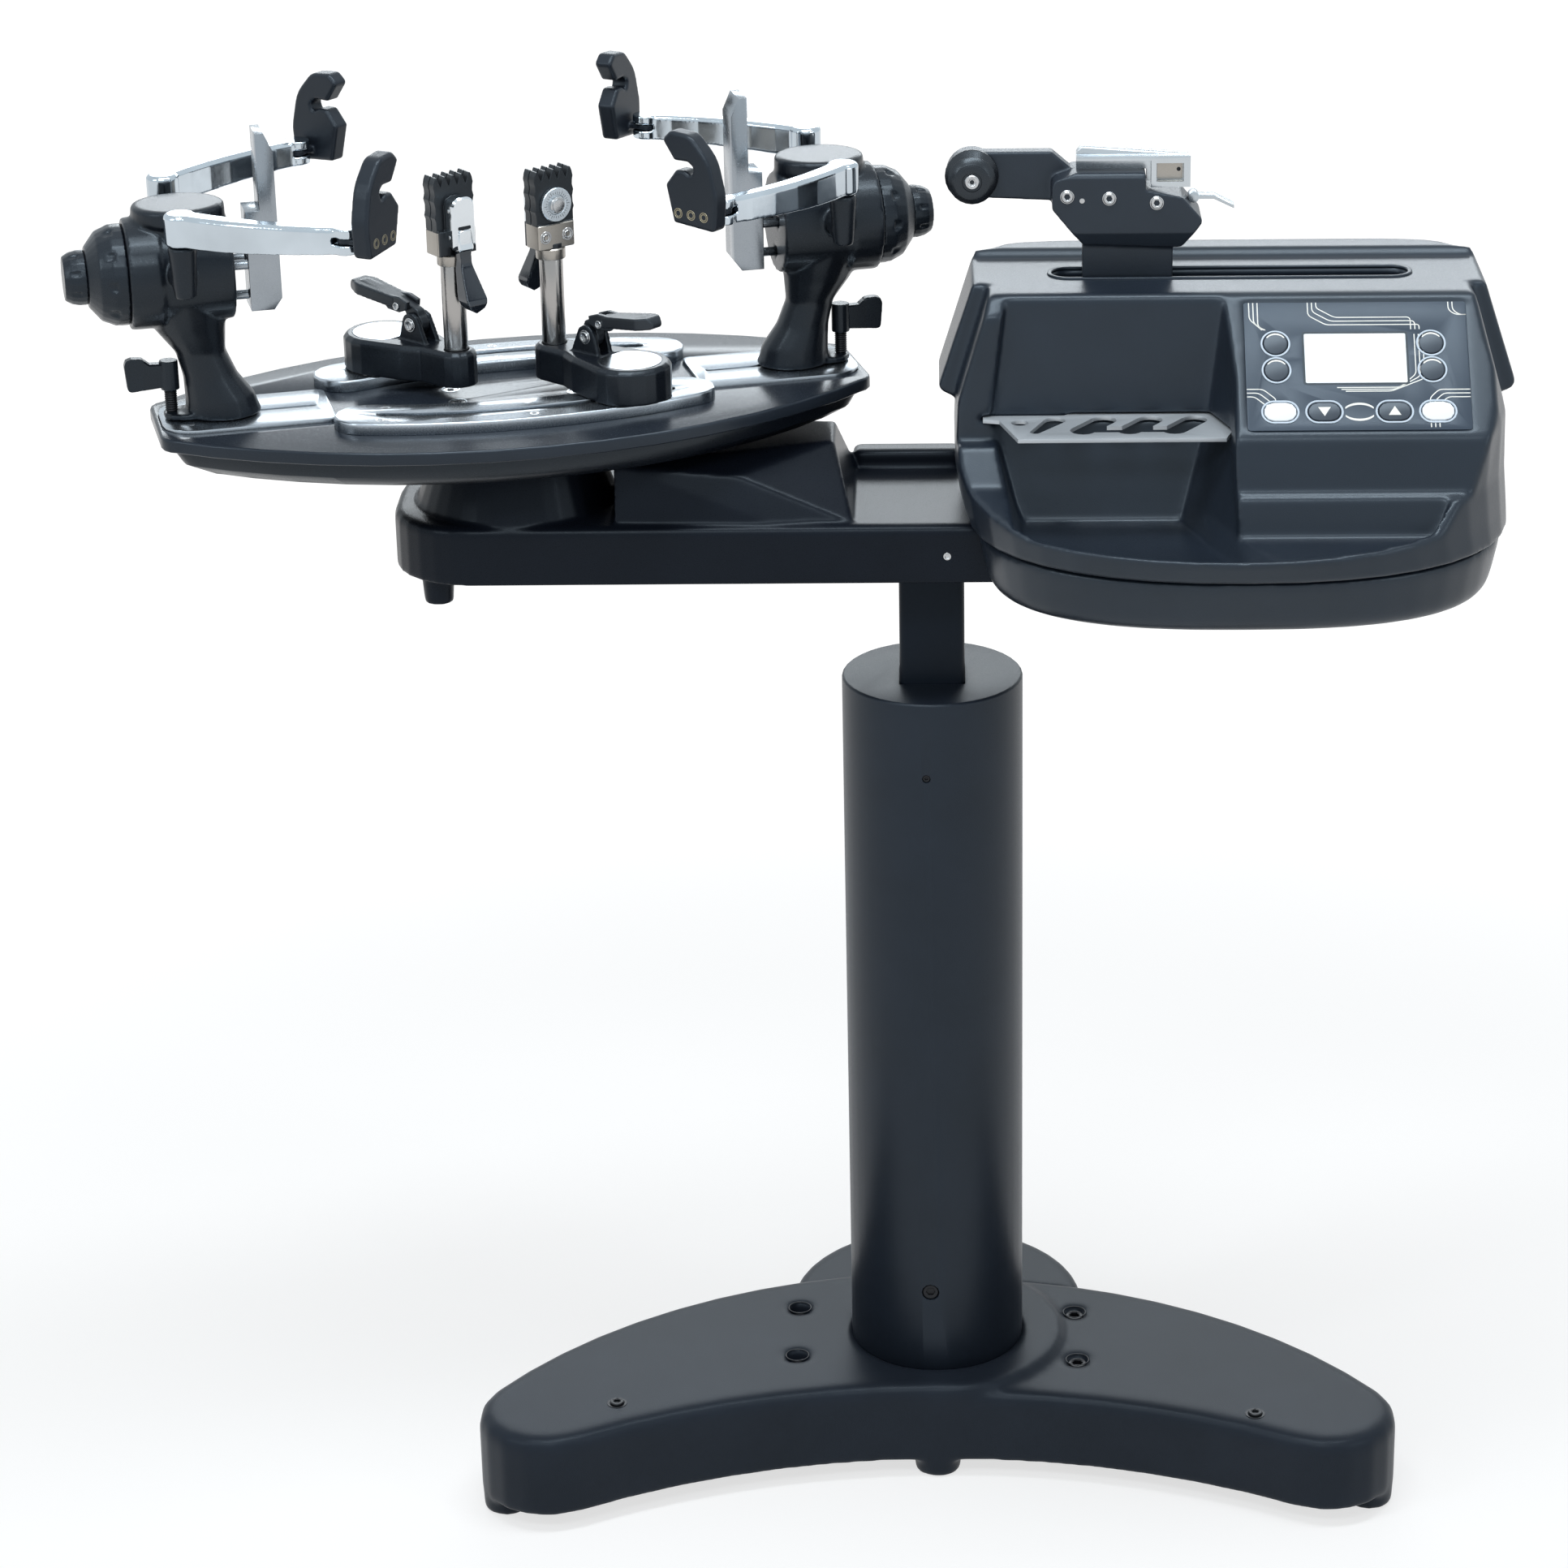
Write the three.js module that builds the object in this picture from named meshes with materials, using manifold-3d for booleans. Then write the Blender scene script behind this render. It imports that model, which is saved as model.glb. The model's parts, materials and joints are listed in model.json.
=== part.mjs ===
// Racket stringing machine: a stand with a height mast, an arm with a turntable, and an electric tension head.
// Lengths are millimetres, +X runs to the tension head, -Y faces the stringer and +Z is up.
import * as THREE from 'three';
import { mergeVertices } from 'three/addons/utils/BufferGeometryUtils.js';
import { ConvexGeometry } from 'three/addons/geometries/ConvexGeometry.js';
import Module from 'manifold-3d';

const wasm = await Module();
wasm.setup();

const slip = 0.3;
const overrun = 10;
const seatGap = 0.02;
const weld = 1e-4;

const stand = {
  backRadius: 428,
  frontFlare: 152,
  backReach: 97,
  frontReach: 101,
  tipRadius: 56,
  floorGap: 15,
  rightTop: 78,
  leftTop: 84,
  edge: 9,
  wall: 6,
  roof: 10,
  collarRadius: 103,
  socketDepth: 6,
  boltX: 114,
  boltRearY: 30,
  boltFrontY: -48,
  boltHeadRadius: 9,
  boltHeadDepth: 8,
  bossRadius: 13,
  footRadius: 19.5,
  footTipOut: 34.7,
  footTipFront: 11.2,
  footFrontY: 83,
};

const lobe = {
  radius: 122,
  centreY: 78,
  top: 70,
  edge: 8,
  tongueTop: 40,
  tongueHalf: 130,
  tongueFront: 78,
  tongueShoulderY: 54,
  neckHalf: 104,
  footY: 160,
};

const column = {
  radius: 70,
  wall: 3.5,
  top: 661,
  capThickness: 8,
  capChamfer: 1.5,
  guideHeight: 470,
  guideThickness: 8,
  upperHoleRadius: 3.2,
  upperHoleHeight: 600,
  lowerHoleRadius: 7,
  lowerHoleHeight: 153,
  holeX: -5,
};

const mast = {
  side: 50,
  corner: 6,
  wall: 4,
  bottom: 330,
  seat: 27,
};

const arm = {
  left: 406,
  right: 92,
  half: 80,
  endRadius: 62,
  bottom: 763,
  height: 45,
  edge: 6,
  ribHeight: 14,
  ribWidth: 23,
  ribStart: 60,
  ribEnd: 24,
  humpHeight: 43,
  humpLeft: 236,
  humpFront: 60,
  humpApexX: 144,
  humpApexDrop: 9,
  humpCrestX: 119,
  humpRight: 73,
  humpRightFront: 5,
  humpRightBack: 45,
  humpToe: 58,
  humpToeFront: 70,
  turretFoot: 79,
  turretRadius: 62,
  turretHeight: 40,
  benchFootX: 372,
  benchFootY: 50,
  benchFootDrop: 22,
  benchFootTop: 13,
  benchFootTip: 11,
  sideScrewX: 12,
  sideScrewZ: 784,
  sideScrewRadius: 3.5,
  sideScrewDepth: 3,
};

const table = {
  x: -314,
  turn: 15.5,
  top: 891,
  plate: 10,
  half: 140,
  arcRadius: 420,
  end: 268,
  endCorner: 16,
  edge: 1.2,
  dishDepth: 25,
  dishInset: 8,
  spindleRadius: 56,
  hubRadius: 22,
  screwX: 45,
  screwY: 16,
  screwRadius: 6,
  screwDepth: 1.5,
};

const endRail = {
  inner: 138,
  outer: 264,
  half: 38,
  outerCorner: 24,
  innerCorner: 6,
  thickness: 6,
  proud: 2.5,
  slotInner: 148,
  slotOuter: 258,
  slotHalf: 2.6,
};

const clampRail = {
  radius: 376,
  reach: 73.5,
  half: 24,
  halfLength: 119,
  thickness: 9,
  edge: 1,
  slotHalf: 4.5,
  slotHalfLength: 108,
};

const tower = {
  reach: 217,
  axisHeight: 111.5,
  footHalfX: 28,
  footHalfY: 24,
  footHeight: 5,
  footStudX: 38,
  flangeX: -64,
  flangeRadius: 41,
  flangeLength: 24,
  bodyRadius: 38,
  bodyEnd: 12,
  capX: -23,
  capHalfX: 34,
  capHalfY: 31,
  capTop: 162,
  capThickness: 13,
  capGroove: 1,
  keyHalf: 2.3,
  keyDepth: 4,
  keyLength: 40,
  neckWaistZ: 50,
};

const towerKnob = {
  bigRadius: 37,
  bigLength: 28,
  bigGrooves: 10,
  bigGrooveRadius: 5,
  smallRadius: 20,
  smallLength: 16,
  smallGrooves: 8,
  smallGrooveRadius: 3,
  spigotRadius: 12,
  spigotLength: 8,
  screwRadius: 5,
};

const post = {
  inner: 47,
  blade: 12.5,
  block: 23,
  halfY: 14,
  bottom: 79.5,
  step: 154.5,
  top: 211.5,
  topChamfer: 14,
  bottomChamfer: 6,
  pinRadius: 3.5,
  pinSpread: 10,
  upperPinZ: 114,
  lowerPinZ: 89,
  pinSocket: 30,
};

const towerArm = {
  pivotX: -27,
  pivotY: 57,
  pivotRadius: 12,
  bottom: 145,
  heightInner: 24,
  heightOuter: 18,
  thick: 15,
  bow: 7,
  endX: 82,
  endY: 130,
  barrelRadius: 10,
  slotHeight: 5,
  pinRadius: 3,
  earTop: 144.7,
  earBottom: 118,
  earRadius: 11,
  studRadius: 5,
  studHeight: 16,
};

const pad = {
  outerX: 88,
  outerY: 152,
  innerX: 116,
  innerY: 118,
  width: 44,
  thickness: 14,
  bottom: 150,
  height: 70,
  edge: 1.6,
};

// Corners of the hook plate: shares of its width and height, then the corner radius.
const padShares = [
  [0, 0, 4], [0.85, 0.04, 2], [1, 0.43, 2], [0.78, 0.6, 3], [0.6, 0.6, 3], [0.46, 0.55, 2.2], [0.42, 0.65, 2.6],
  [0.54, 0.7, 2.4], [0.81, 0.695, 2], [1.05, 0.9, 3], [0.88, 1, 5], [0.47, 0.98, 12], [0.1, 0.74, 30],
  [-0.05, 0.36, 30],
];

const lever = {
  hubRadius: 7,
  bottom: 22,
  height: 22,
  reach: 33,
  bladeHalf: 4,
  tipRadius: 5,
  studRadius: 4,
};

const clamp = {
  leftSeatX: -86,
  rightSeatX: 77,
  leftTurn: 125.5,
  swing: 77,
  wideRadius: 31,
  narrowRadius: 15,
  height: 27,
  edge: 3,
  postRadius: 9,
  postTop: 101,
  postSocket: 18,
  tenonHalf: 4.1,
  tenonDepth: 6,
  recessRadius: 24,
  recessDepth: 1,
  lugHalf: 4,
  lugGap: 8.4,
  lugX: 40,
  lugRadius: 9,
};

const clampLever = {
  pivotZ: 40,
  eyeRadius: 9,
  pinRadius: 3,
  length: 62,
  rise: 16,
  half: 11,
  thick: 9,
};

const head = {
  turnFromBase: 77,
  collarRadius: 10.5,
  collarHeight: 8,
  blockHalfX: 15.5,
  blockFront: 9,
  blockBack: 10,
  blockHeight: 20,
  jawHalfX: 16,
  jawFront: 8,
  jawHeight: 40,
  gap: 1.2,
  teeth: 5,
  toothDepth: 7,
  toothHalf: 1.6,
  dialRadius: 12.5,
  dialThickness: 3,
  dialZ: 34,
  dialHubRadius: 4.5,
  dialHubHeight: 2.5,
  latchHalf: 9,
  latchDepth: 9,
  latchTop: 45,
  latchBottom: 10,
};

const handle = {
  pivotZ: 16,
  pinRadius: 2.5,
  eyeRadius: 5,
  half: 6,
  length: 62,
  bulge: 9,
  root: 5,
  lean: 12,
};

const consoleBody = {
  centreX: 222,
  frontY: -60,
  back: 96,
  crownBack: 80,
  backCorner: 30,
  bottom: 763,
  bottomFillet: 7,
  seam: 808,
  rim: 826,
  waist: 855,
  hoodTip: 900,
  deck: 979,
  crown: 985,
  bottomHalf: 188,
  seamStep: 3,
  seamHalf: 200,
  rimHalf: 203,
  waistHalf: 204,
  hoodArc: 530,
  tipHalf: 216,
  lowerLean: 7,
  shoulderHalf: 202,
  deckHalf: 174,
  hoodHalf: 188,
  bottomReach: 135,
  seamReach: 153,
  rimReach: 162,
  bottomPower: 2.6,
  seamPower: 2.3,
  rimPower: 2.1,
  creaseY: -56,
  slope: 44,
  slopeRun: 87,
  blockLean: 9,
  padStepZ: 854,
  padFrontZ: 829,
  ledgeRun: 19,
  rampRun: 34,
  rampZ: 834,
  crownFront: 42,
  wingFront: -28,
  wingDrop: 9,
  cavityHalfX: 166,
  cavityFront: -34,
  cavityBack: 46,
  deckThickness: 9,
};

const slot = {
  y: 0,
  half: 12,
  left: 92,
  right: 356,
};

const tray = {
  faceY: -70,
  sideTop: 871,
  sideMiddle: 846,
  sideRun: 36,
  sideEnd: 110,
  rimTop: 828,
  frontRun: 96,
  wall: 6,
  padLeft: 221,
  padFloor: 826,
  padFloorBack: -164,
  padFloorRight: 376,
  padBack: -158,
  padRight: 390,
  padCorner: 14,
};

// The tool tray's walls at four heights: back, then the right wall from back to front.
const trayFoot = {
  z: 812,
  left: 68,
  back: -84,
  right: 186,
  shoulderX: 193,
  kneeX: 210,
  farX: 231,
};

const trayLip = {
  z: 826,
  left: 62,
  back: -80,
  right: 189,
  shoulderX: 199,
  kneeX: 222,
  farX: 254,
};

const trayRack = {
  z: 888,
  left: 45,
  back: -64,
  right: 205,
  shoulderX: 219,
  kneeX: 221,
  farX: 221,
};

const trayDeck = {
  z: 980,
  left: 56,
  back: -58,
  right: 216,
  shoulderX: 226,
  kneeX: 228,
  farX: 228,
};

const trayRun = {
  shoulder: 22,
  knee: 75,
};

const rack = {
  z: 886,
  thickness: 3,
  back: -58,
  front: -121,
  left: 39,
  right: 222,
  groove: 3,
  tabY: -73,
  tabWidth: 6,
  stepX: 106,
  stepDepth: 7,
  frontLeft: 64,
  cornerY: -102,
  backRight: 209,
  frontRight: 216,
  awlX: 66,
  awlY: -82,
  awlRadius: 6.5,
  keyX: 92,
  keyY: -77,
  keyRadius: 8,
  keyTailX: 77,
  keyTailY: -104,
  keyTailRadius: 4,
  lobeX: [128, 162, 195],
  lobeY: -77,
  lobeRadius: 9.5,
  lobeRunX: 16,
  lobeRunY: 24,
};

const panel = {
  left: 230,
  drop: 8,
  width: 163,
  height: 106,
  thickness: 2,
  corner: 2,
  displayLeft: 43,
  displayTop: 25.8,
  displayWidth: 75,
  displayHeight: 41.7,
  displayDepth: 0.8,
};

const key = {
  roundRadius: 9,
  ovalHalfX: 12,
  ovalHalfY: 7.5,
  proud: 1.2,
  below: 4,
  travelRoom: 1.5,
  flange: 1,
  flangeThickness: 1.2,
  leftX: 22.5,
  rightX: 136,
  upperY: 34.6,
  lowerY: 56.6,
  rowY: 91,
  ovalX: [24, 56, 107, 138.5],
};

const inlet = {
  panelY: 90,
  panelLeft: 230,
  panelRight: 302,
  panelHalf: 13,
  x: 252,
  z: 784,
  width: 27,
  height: 20,
  depth: 16,
  pinSpread: 7,
  pinHalf: 1,
  pinTall: 4,
  pinLength: 12,
  switchX: 288,
  switchWidth: 13,
  switchHeight: 20,
  switchDepth: 12,
  rockerTip: 1.6,
  rockerTilt: 1,
};

const rail = {
  radius: 8,
  z: 852,
  seat: 8,
};

const gripper = {
  neckLeft: 114,
  neckRight: 181,
  neckHalf: 10,
  carriageBottom: 834,
  carriageHalf: 22,
  carriageTop: 872,
  bodyHalf: 21,
  bodyBottom: 1005,
  bodyLeft: 91,
  bodyRight: 203,
  chamferTopZ: 1033,
  topZ: 1060,
  shelfX: 160,
  shelfZ: 1047,
  tailX: 187,
  tailTopZ: 1042,
  tailZ: 1024,
  noseX: 32,
  noseZ: 1055,
  noseArmHalf: 17,
  noseArmFront: -2,
  noseArmBack: 12,
  noseEyeRadius: 19,
  edge: 3,
};

const roller = {
  radius: 20,
  waist: 15.5,
  faceRadius: 13,
  length: 20,
  pinRadius: 5,
};

const jaw = {
  left: 109,
  right: 193,
  bottom: 1060,
  drop: 9,
  top: 1076,
  thickness: 5,
  gap: 0.8,
  y: 0,
  guard: 8,
  guardThickness: 3,
};

const gripLever = {
  pivotX: 196,
  pivotZ: 1038,
  eyeRadius: 4,
  pinRadius: 1.6,
  length: 30,
  half: 6,
  thick: 2.4,
};

// Where the column axis stands from the middle of the whole machine.
const middle = {
  x: 97,
  y: -11,
};

const looks = {
  powder: { color: 0x1b1e22, roughness: 0.6, metalness: 0.3 },
  moulding: { color: 0x24282d, roughness: 0.55, metalness: 0.05 },
  castBlack: { color: 0x17191c, roughness: 0.4, metalness: 0.35 },
  plate: { color: 0x54595f, roughness: 0.45, metalness: 0.6 },
  rubber: { color: 0x131416, roughness: 0.75, metalness: 0 },
  plain: { color: 0x1c1f22, roughness: 0.5, metalness: 0 },
  polished: { color: 0xc9ced2, roughness: 0.18, metalness: 1 },
  satin: { color: 0xaeb3b6, roughness: 0.35, metalness: 0.9 },
  nickel: { color: 0xb5ada0, roughness: 0.3, metalness: 0.95 },
  overlay: { color: 0x2b2f35, roughness: 0.45, metalness: 0 },
  keyGrey: { color: 0x4a4f55, roughness: 0.45, metalness: 0.1 },
  keyLight: { color: 0xdfe6ea, roughness: 0.4, metalness: 0 },
};

// Solids.

function asSolid(geometry) {
  const bare = geometry.clone();
  bare.deleteAttribute('normal');
  bare.deleteAttribute('uv');
  const merged = mergeVertices(bare, weld);
  const source = merged.index.array;
  const triangles = [];
  for (let i = 0; i < source.length; i += 3) {
    const [a, b, c] = [source[i], source[i + 1], source[i + 2]];
    if (a !== b && b !== c && c !== a) triangles.push(a, b, c);
  }
  return new wasm.Manifold(new wasm.Mesh({
    numProp: 3,
    vertProperties: new Float32Array(merged.attributes.position.array),
    triVerts: new Uint32Array(triangles),
  }));
}

function asGeometry(solid) {
  const mesh = solid.getMesh();
  const geometry = new THREE.BufferGeometry();
  geometry.setAttribute('position', new THREE.BufferAttribute(new Float32Array(mesh.vertProperties), 3));
  geometry.setIndex(new THREE.BufferAttribute(new Uint32Array(mesh.triVerts), 1));
  return geometry;
}

function join(first, ...rest) {
  return asGeometry(rest.reduce((sum, next) => sum.add(asSolid(next)), asSolid(first)));
}

function cut(first, ...rest) {
  return asGeometry(rest.reduce((sum, next) => sum.subtract(asSolid(next)), asSolid(first)));
}

function common(first, second) {
  return asGeometry(asSolid(first).intersect(asSolid(second)));
}

function mirrorY(geometry) {
  const flipped = asGeometry(asSolid(geometry));
  flipped.scale(1, -1, 1);
  const index = flipped.index.array;
  for (let i = 0; i < index.length; i += 3) [index[i + 1], index[i + 2]] = [index[i + 2], index[i + 1]];
  return flipped;
}

function block([x0, x1], [y0, y1], [z0, z1]) {
  const box = new THREE.BoxGeometry(x1 - x0, y1 - y0, z1 - z0);
  return box.translate((x0 + x1) / 2, (y0 + y1) / 2, (z0 + z1) / 2);
}

function rod(radius, low, high, sides = 32, topRadius = radius) {
  const turnedRod = new THREE.CylinderGeometry(topRadius, radius, high - low, sides);
  return turnedRod.rotateX(Math.PI / 2).translate(0, 0, (low + high) / 2);
}

function rodX(radius, low, high, sides = 32, endRadius = radius) {
  return rod(radius, low, high, sides, endRadius).rotateY(Math.PI / 2);
}

function rodY(radius, low, high, sides = 32) {
  return rod(radius, -high, -low, sides).rotateX(Math.PI / 2);
}

// A profile of [radius, height] pairs turned about Z.
function turned(profile, sides) {
  const points = profile.map(([radius, height]) => new THREE.Vector2(radius, height));
  return new THREE.LatheGeometry(points, sides).rotateX(Math.PI / 2);
}

// Outlines.

function arc(cx, cy, radius, from, to, steps, radiusY = radius) {
  const points = [];
  for (let i = 0; i <= steps; i += 1) {
    const angle = THREE.MathUtils.degToRad(from + (to - from) * (i / steps));
    points.push([cx + radius * Math.cos(angle), cy + radiusY * Math.sin(angle)]);
  }
  return points;
}

function shapeOf(points) {
  const kept = points.filter(([x, y], i) => {
    const [px, py] = points[(i + points.length - 1) % points.length];
    return Math.hypot(x - px, y - py) > weld * overrun;
  });
  return new THREE.Shape(kept.map(([x, y]) => new THREE.Vector2(x, y)));
}

// Corners are [x, y, radius]; each radius becomes an arc of a few chords.
function rounded(corners, steps = 4) {
  const points = [];
  corners.forEach(([x, y, radius], i) => {
    const [ax, ay] = corners[(i + corners.length - 1) % corners.length];
    const [bx, by] = corners[(i + 1) % corners.length];
    if (!radius) {
      points.push([x, y]);
      return;
    }
    const inward = new THREE.Vector2(ax - x, ay - y).normalize();
    const onward = new THREE.Vector2(bx - x, by - y).normalize();
    const halfAngle = Math.acos(THREE.MathUtils.clamp(inward.dot(onward), -1, 1)) / 2;
    const back = radius / Math.tan(halfAngle);
    const bisector = inward.clone().add(onward).normalize().multiplyScalar(radius / Math.sin(halfAngle));
    const centre = new THREE.Vector2(x, y).add(bisector);
    const start = new THREE.Vector2(x, y).addScaledVector(inward, back).sub(centre);
    const end = new THREE.Vector2(x, y).addScaledVector(onward, back).sub(centre);
    const sweep = Math.atan2(start.cross(end), start.dot(end));
    for (let k = 0; k <= steps; k += 1) {
      const spoke = start.clone().rotateAround(new THREE.Vector2(), sweep * (k / steps));
      points.push([centre.x + spoke.x, centre.y + spoke.y]);
    }
  });
  return points;
}

function rectangle([x0, x1], [y0, y1], radius = 0, steps = 4) {
  return rounded([[x0, y0, radius], [x1, y0, radius], [x1, y1, radius], [x0, y1, radius]], steps);
}

function slotOutline(cx, cy, halfLength, half, steps = 6) {
  return [
    ...arc(cx + halfLength - half, cy, half, -90, 90, steps),
    ...arc(cx - halfLength + half, cy, half, 90, 270, steps),
  ];
}

function prism(points, low, high) {
  const geometry = new THREE.ExtrudeGeometry(shapeOf(points), { depth: high - low, bevelEnabled: false });
  return geometry.translate(0, 0, low);
}

// A prism with both rims eased.
function slab(points, low, high, edge, steps = 2) {
  const geometry = new THREE.ExtrudeGeometry(shapeOf(points), {
    depth: high - low - 2 * edge,
    bevelEnabled: true,
    bevelThickness: edge,
    bevelSize: edge,
    bevelOffset: -edge,
    bevelSegments: steps,
  });
  return geometry.translate(0, 0, low + edge);
}

// A prism whose top rim is eased and whose bottom rim is square.
function domed(points, low, high, edge, steps = 2) {
  const full = slab(points, low - edge, high, edge, steps);
  full.computeBoundingBox();
  const { min, max } = full.boundingBox;
  const reachX = [min.x - overrun, max.x + overrun];
  const reachY = [min.y - overrun, max.y + overrun];
  return cut(full, block(reachX, reachY, [low - edge - overrun, low]));
}

// An outline drawn in X and Z, pushed along Y.
function sidePrism(points, front, back) {
  return prism(points, -back, -front).rotateX(Math.PI / 2);
}

// An outline drawn in Y and Z, pushed along X.
function crossPrism(points, left, right) {
  return prism(points, left, right).rotateX(Math.PI / 2).rotateZ(Math.PI / 2);
}

// Closed skin through rings of equal point counts, each [z, points].
function lofted(rings) {
  const count = rings[0][1].length;
  const positions = [];
  rings.forEach(([z, points]) => points.forEach(([x, y]) => positions.push(x, y, z)));
  const triangles = [];
  for (let r = 0; r < rings.length - 1; r += 1) {
    for (let i = 0; i < count; i += 1) {
      const a = r * count + i;
      const b = r * count + ((i + 1) % count);
      triangles.push(a, b, b + count, a, b + count, a + count);
    }
  }
  const capOf = (points) => {
    const flat = points.map(([x, y]) => new THREE.Vector2(x, y));
    return THREE.ShapeUtils.triangulateShape(flat, []);
  };
  capOf(rings[0][1]).forEach(([a, b, c]) => triangles.push(a, c, b));
  const last = (rings.length - 1) * count;
  capOf(rings[rings.length - 1][1]).forEach(([a, b, c]) => triangles.push(last + a, last + b, last + c));
  const geometry = new THREE.BufferGeometry();
  geometry.setAttribute('position', new THREE.Float32BufferAttribute(positions, 3));
  geometry.setIndex(triangles);
  return geometry;
}

function piece(name, geometry, look) {
  const mesh = new THREE.Mesh(geometry, new THREE.MeshStandardMaterial(look));
  mesh.name = name;
  return mesh;
}

function radians(degrees) {
  return THREE.MathUtils.degToRad(degrees);
}

// Stand.

// The circles that the crescent's back, front and round tips lie on.
function crescentCircles() {
  const frontRadius = stand.backRadius + stand.frontFlare;
  const backY = stand.backReach - stand.backRadius;
  const frontY = -stand.frontReach - frontRadius;
  const toBack = stand.backRadius - stand.tipRadius;
  const toFront = frontRadius + stand.tipRadius;
  const tipY = (toFront ** 2 - toBack ** 2 - frontY ** 2 + backY ** 2) / (2 * (backY - frontY));
  const tipX = Math.sqrt(toBack ** 2 - (tipY - backY) ** 2);
  return { frontRadius, backY, frontY, tipX, tipY };
}

function crescentOutline(shrink) {
  const { backY, frontY, tipX, tipY, ...front } = crescentCircles();
  const backRadius = stand.backRadius - shrink;
  const frontRadius = front.frontRadius + shrink;
  const tip = stand.tipRadius - shrink;
  const backAngle = THREE.MathUtils.radToDeg(Math.atan2(tipY - backY, tipX));
  const frontAngle = THREE.MathUtils.radToDeg(Math.atan2(tipY - frontY, tipX));
  return [
    ...arc(0, backY, backRadius, backAngle, 180 - backAngle, 22),
    ...arc(-tipX, tipY, tip, 180 - backAngle, 360 - frontAngle, 7),
    ...arc(0, frontY, frontRadius, 180 - frontAngle, frontAngle, 14),
    ...arc(tipX, tipY, tip, 180 + frontAngle, 360 + backAngle, 7),
  ];
}

function tongueOutline(grow) {
  const half = lobe.tongueHalf + grow;
  const neck = lobe.neckHalf + grow;
  return [
    [-half, -lobe.tongueFront - grow], [half, -lobe.tongueFront - grow], [half, lobe.tongueShoulderY + grow],
    [neck, lobe.tongueShoulderY + grow], [neck, lobe.centreY + lobe.neckHalf / 2],
    [-neck, lobe.centreY + lobe.neckHalf / 2], [-neck, lobe.tongueShoulderY + grow],
    [-half, lobe.tongueShoulderY + grow],
  ];
}

function boltPlaces() {
  return [-1, 1].flatMap((side) => [stand.boltRearY, stand.boltFrontY].map((y) => [side * stand.boltX, y]));
}

function baseCrescent() {
  const outline = crescentOutline(0);
  const low = domed(outline, stand.floorGap, stand.rightTop, stand.edge);
  const high = domed(outline, stand.floorGap, stand.leftTop, stand.edge);
  const leftReach = stand.backRadius + overrun;
  const raised = join(
    rod(stand.collarRadius, 0, stand.leftTop + overrun, 40),
    block([-leftReach, 0], [-leftReach, leftReach], [0, stand.leftTop + overrun]),
  );
  let body = join(low, common(high, raised));
  body = cut(body, prism(crescentOutline(stand.wall), 0, stand.rightTop - stand.roof));
  const inner = stand.rightTop - stand.roof + stand.roof / 2;
  const bosses = boltPlaces().map(([x, y]) => {
    return rod(stand.bossRadius, lobe.tongueTop, inner, 12).translate(x, y, 0);
  });
  const { tipX, tipY } = crescentCircles();
  const footX = tipX + stand.footTipOut;
  const footY = tipY - stand.footTipFront;
  const feet = [[-footX, footY], [footX, footY], [0, -stand.footFrontY]];
  const legs = feet.map(([x, y]) => rod(stand.footRadius, 0, inner, 20).translate(x, y, 0));
  body = join(body, ...bosses, ...legs);
  const sockets = boltPlaces().map(([x, y]) => {
    const low = stand.rightTop - stand.boltHeadDepth;
    return rod(stand.boltHeadRadius, low, stand.leftTop + overrun, 14).translate(x, y, 0);
  });
  const columnSocket = rod(
    column.radius + slip,
    stand.leftTop - stand.socketDepth,
    stand.leftTop + overrun,
    36,
  );
  const tongueWay = prism(tongueOutline(slip), 0, lobe.tongueTop);
  return cut(body, ...sockets, columnSocket, tongueWay);
}

function baseLobe() {
  const disc = arc(0, lobe.centreY, lobe.radius, 0, 360, 40).slice(0, -1);
  const outer = cut(
    domed(disc, stand.floorGap, lobe.top, lobe.edge),
    prism(crescentOutline(-slip), 0, lobe.top + overrun),
  );
  const tongue = prism(tongueOutline(0), stand.floorGap, lobe.tongueTop);
  const foot = rod(stand.footRadius, 0, lobe.tongueTop, 20).translate(0, lobe.footY, 0);
  return join(outer, tongue, foot);
}

function columnTube() {
  const bottom = stand.leftTop - stand.socketDepth;
  const inner = column.radius - column.wall;
  const rim = column.radius - column.capChamfer;
  const guideTop = column.guideHeight + column.guideThickness;
  const shell = turned([
    [inner, bottom], [column.radius, bottom], [column.radius, column.top - column.capChamfer],
    [rim, column.top], [0, column.top], [0, column.top - column.capThickness],
    [inner, column.top - column.capThickness], [inner, guideTop], [0, guideTop],
    [0, column.guideHeight], [inner, column.guideHeight], [inner, bottom],
  ], 40);
  const half = mast.side / 2 + slip;
  const mastWay = block([-half, half], [-half, half], [column.guideHeight - overrun, column.top + overrun]);
  const upper = rodY(column.upperHoleRadius, -column.radius - overrun, -inner + overrun, 12);
  const lower = rodY(column.lowerHoleRadius, -column.radius - overrun, -inner + overrun, 12);
  return cut(
    shell,
    mastWay,
    upper.translate(column.holeX, 0, column.upperHoleHeight),
    lower.translate(column.holeX, 0, column.lowerHoleHeight),
  );
}

function mastBar() {
  const half = mast.side / 2;
  const inner = half - mast.wall;
  const top = arm.bottom + mast.seat;
  const outside = prism(rectangle([-half, half], [-half, half], mast.corner), mast.bottom, top);
  const inside = block([-inner, inner], [-inner, inner], [mast.bottom - overrun, top - mast.wall]);
  return cut(outside, inside);
}

// Arm.

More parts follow.
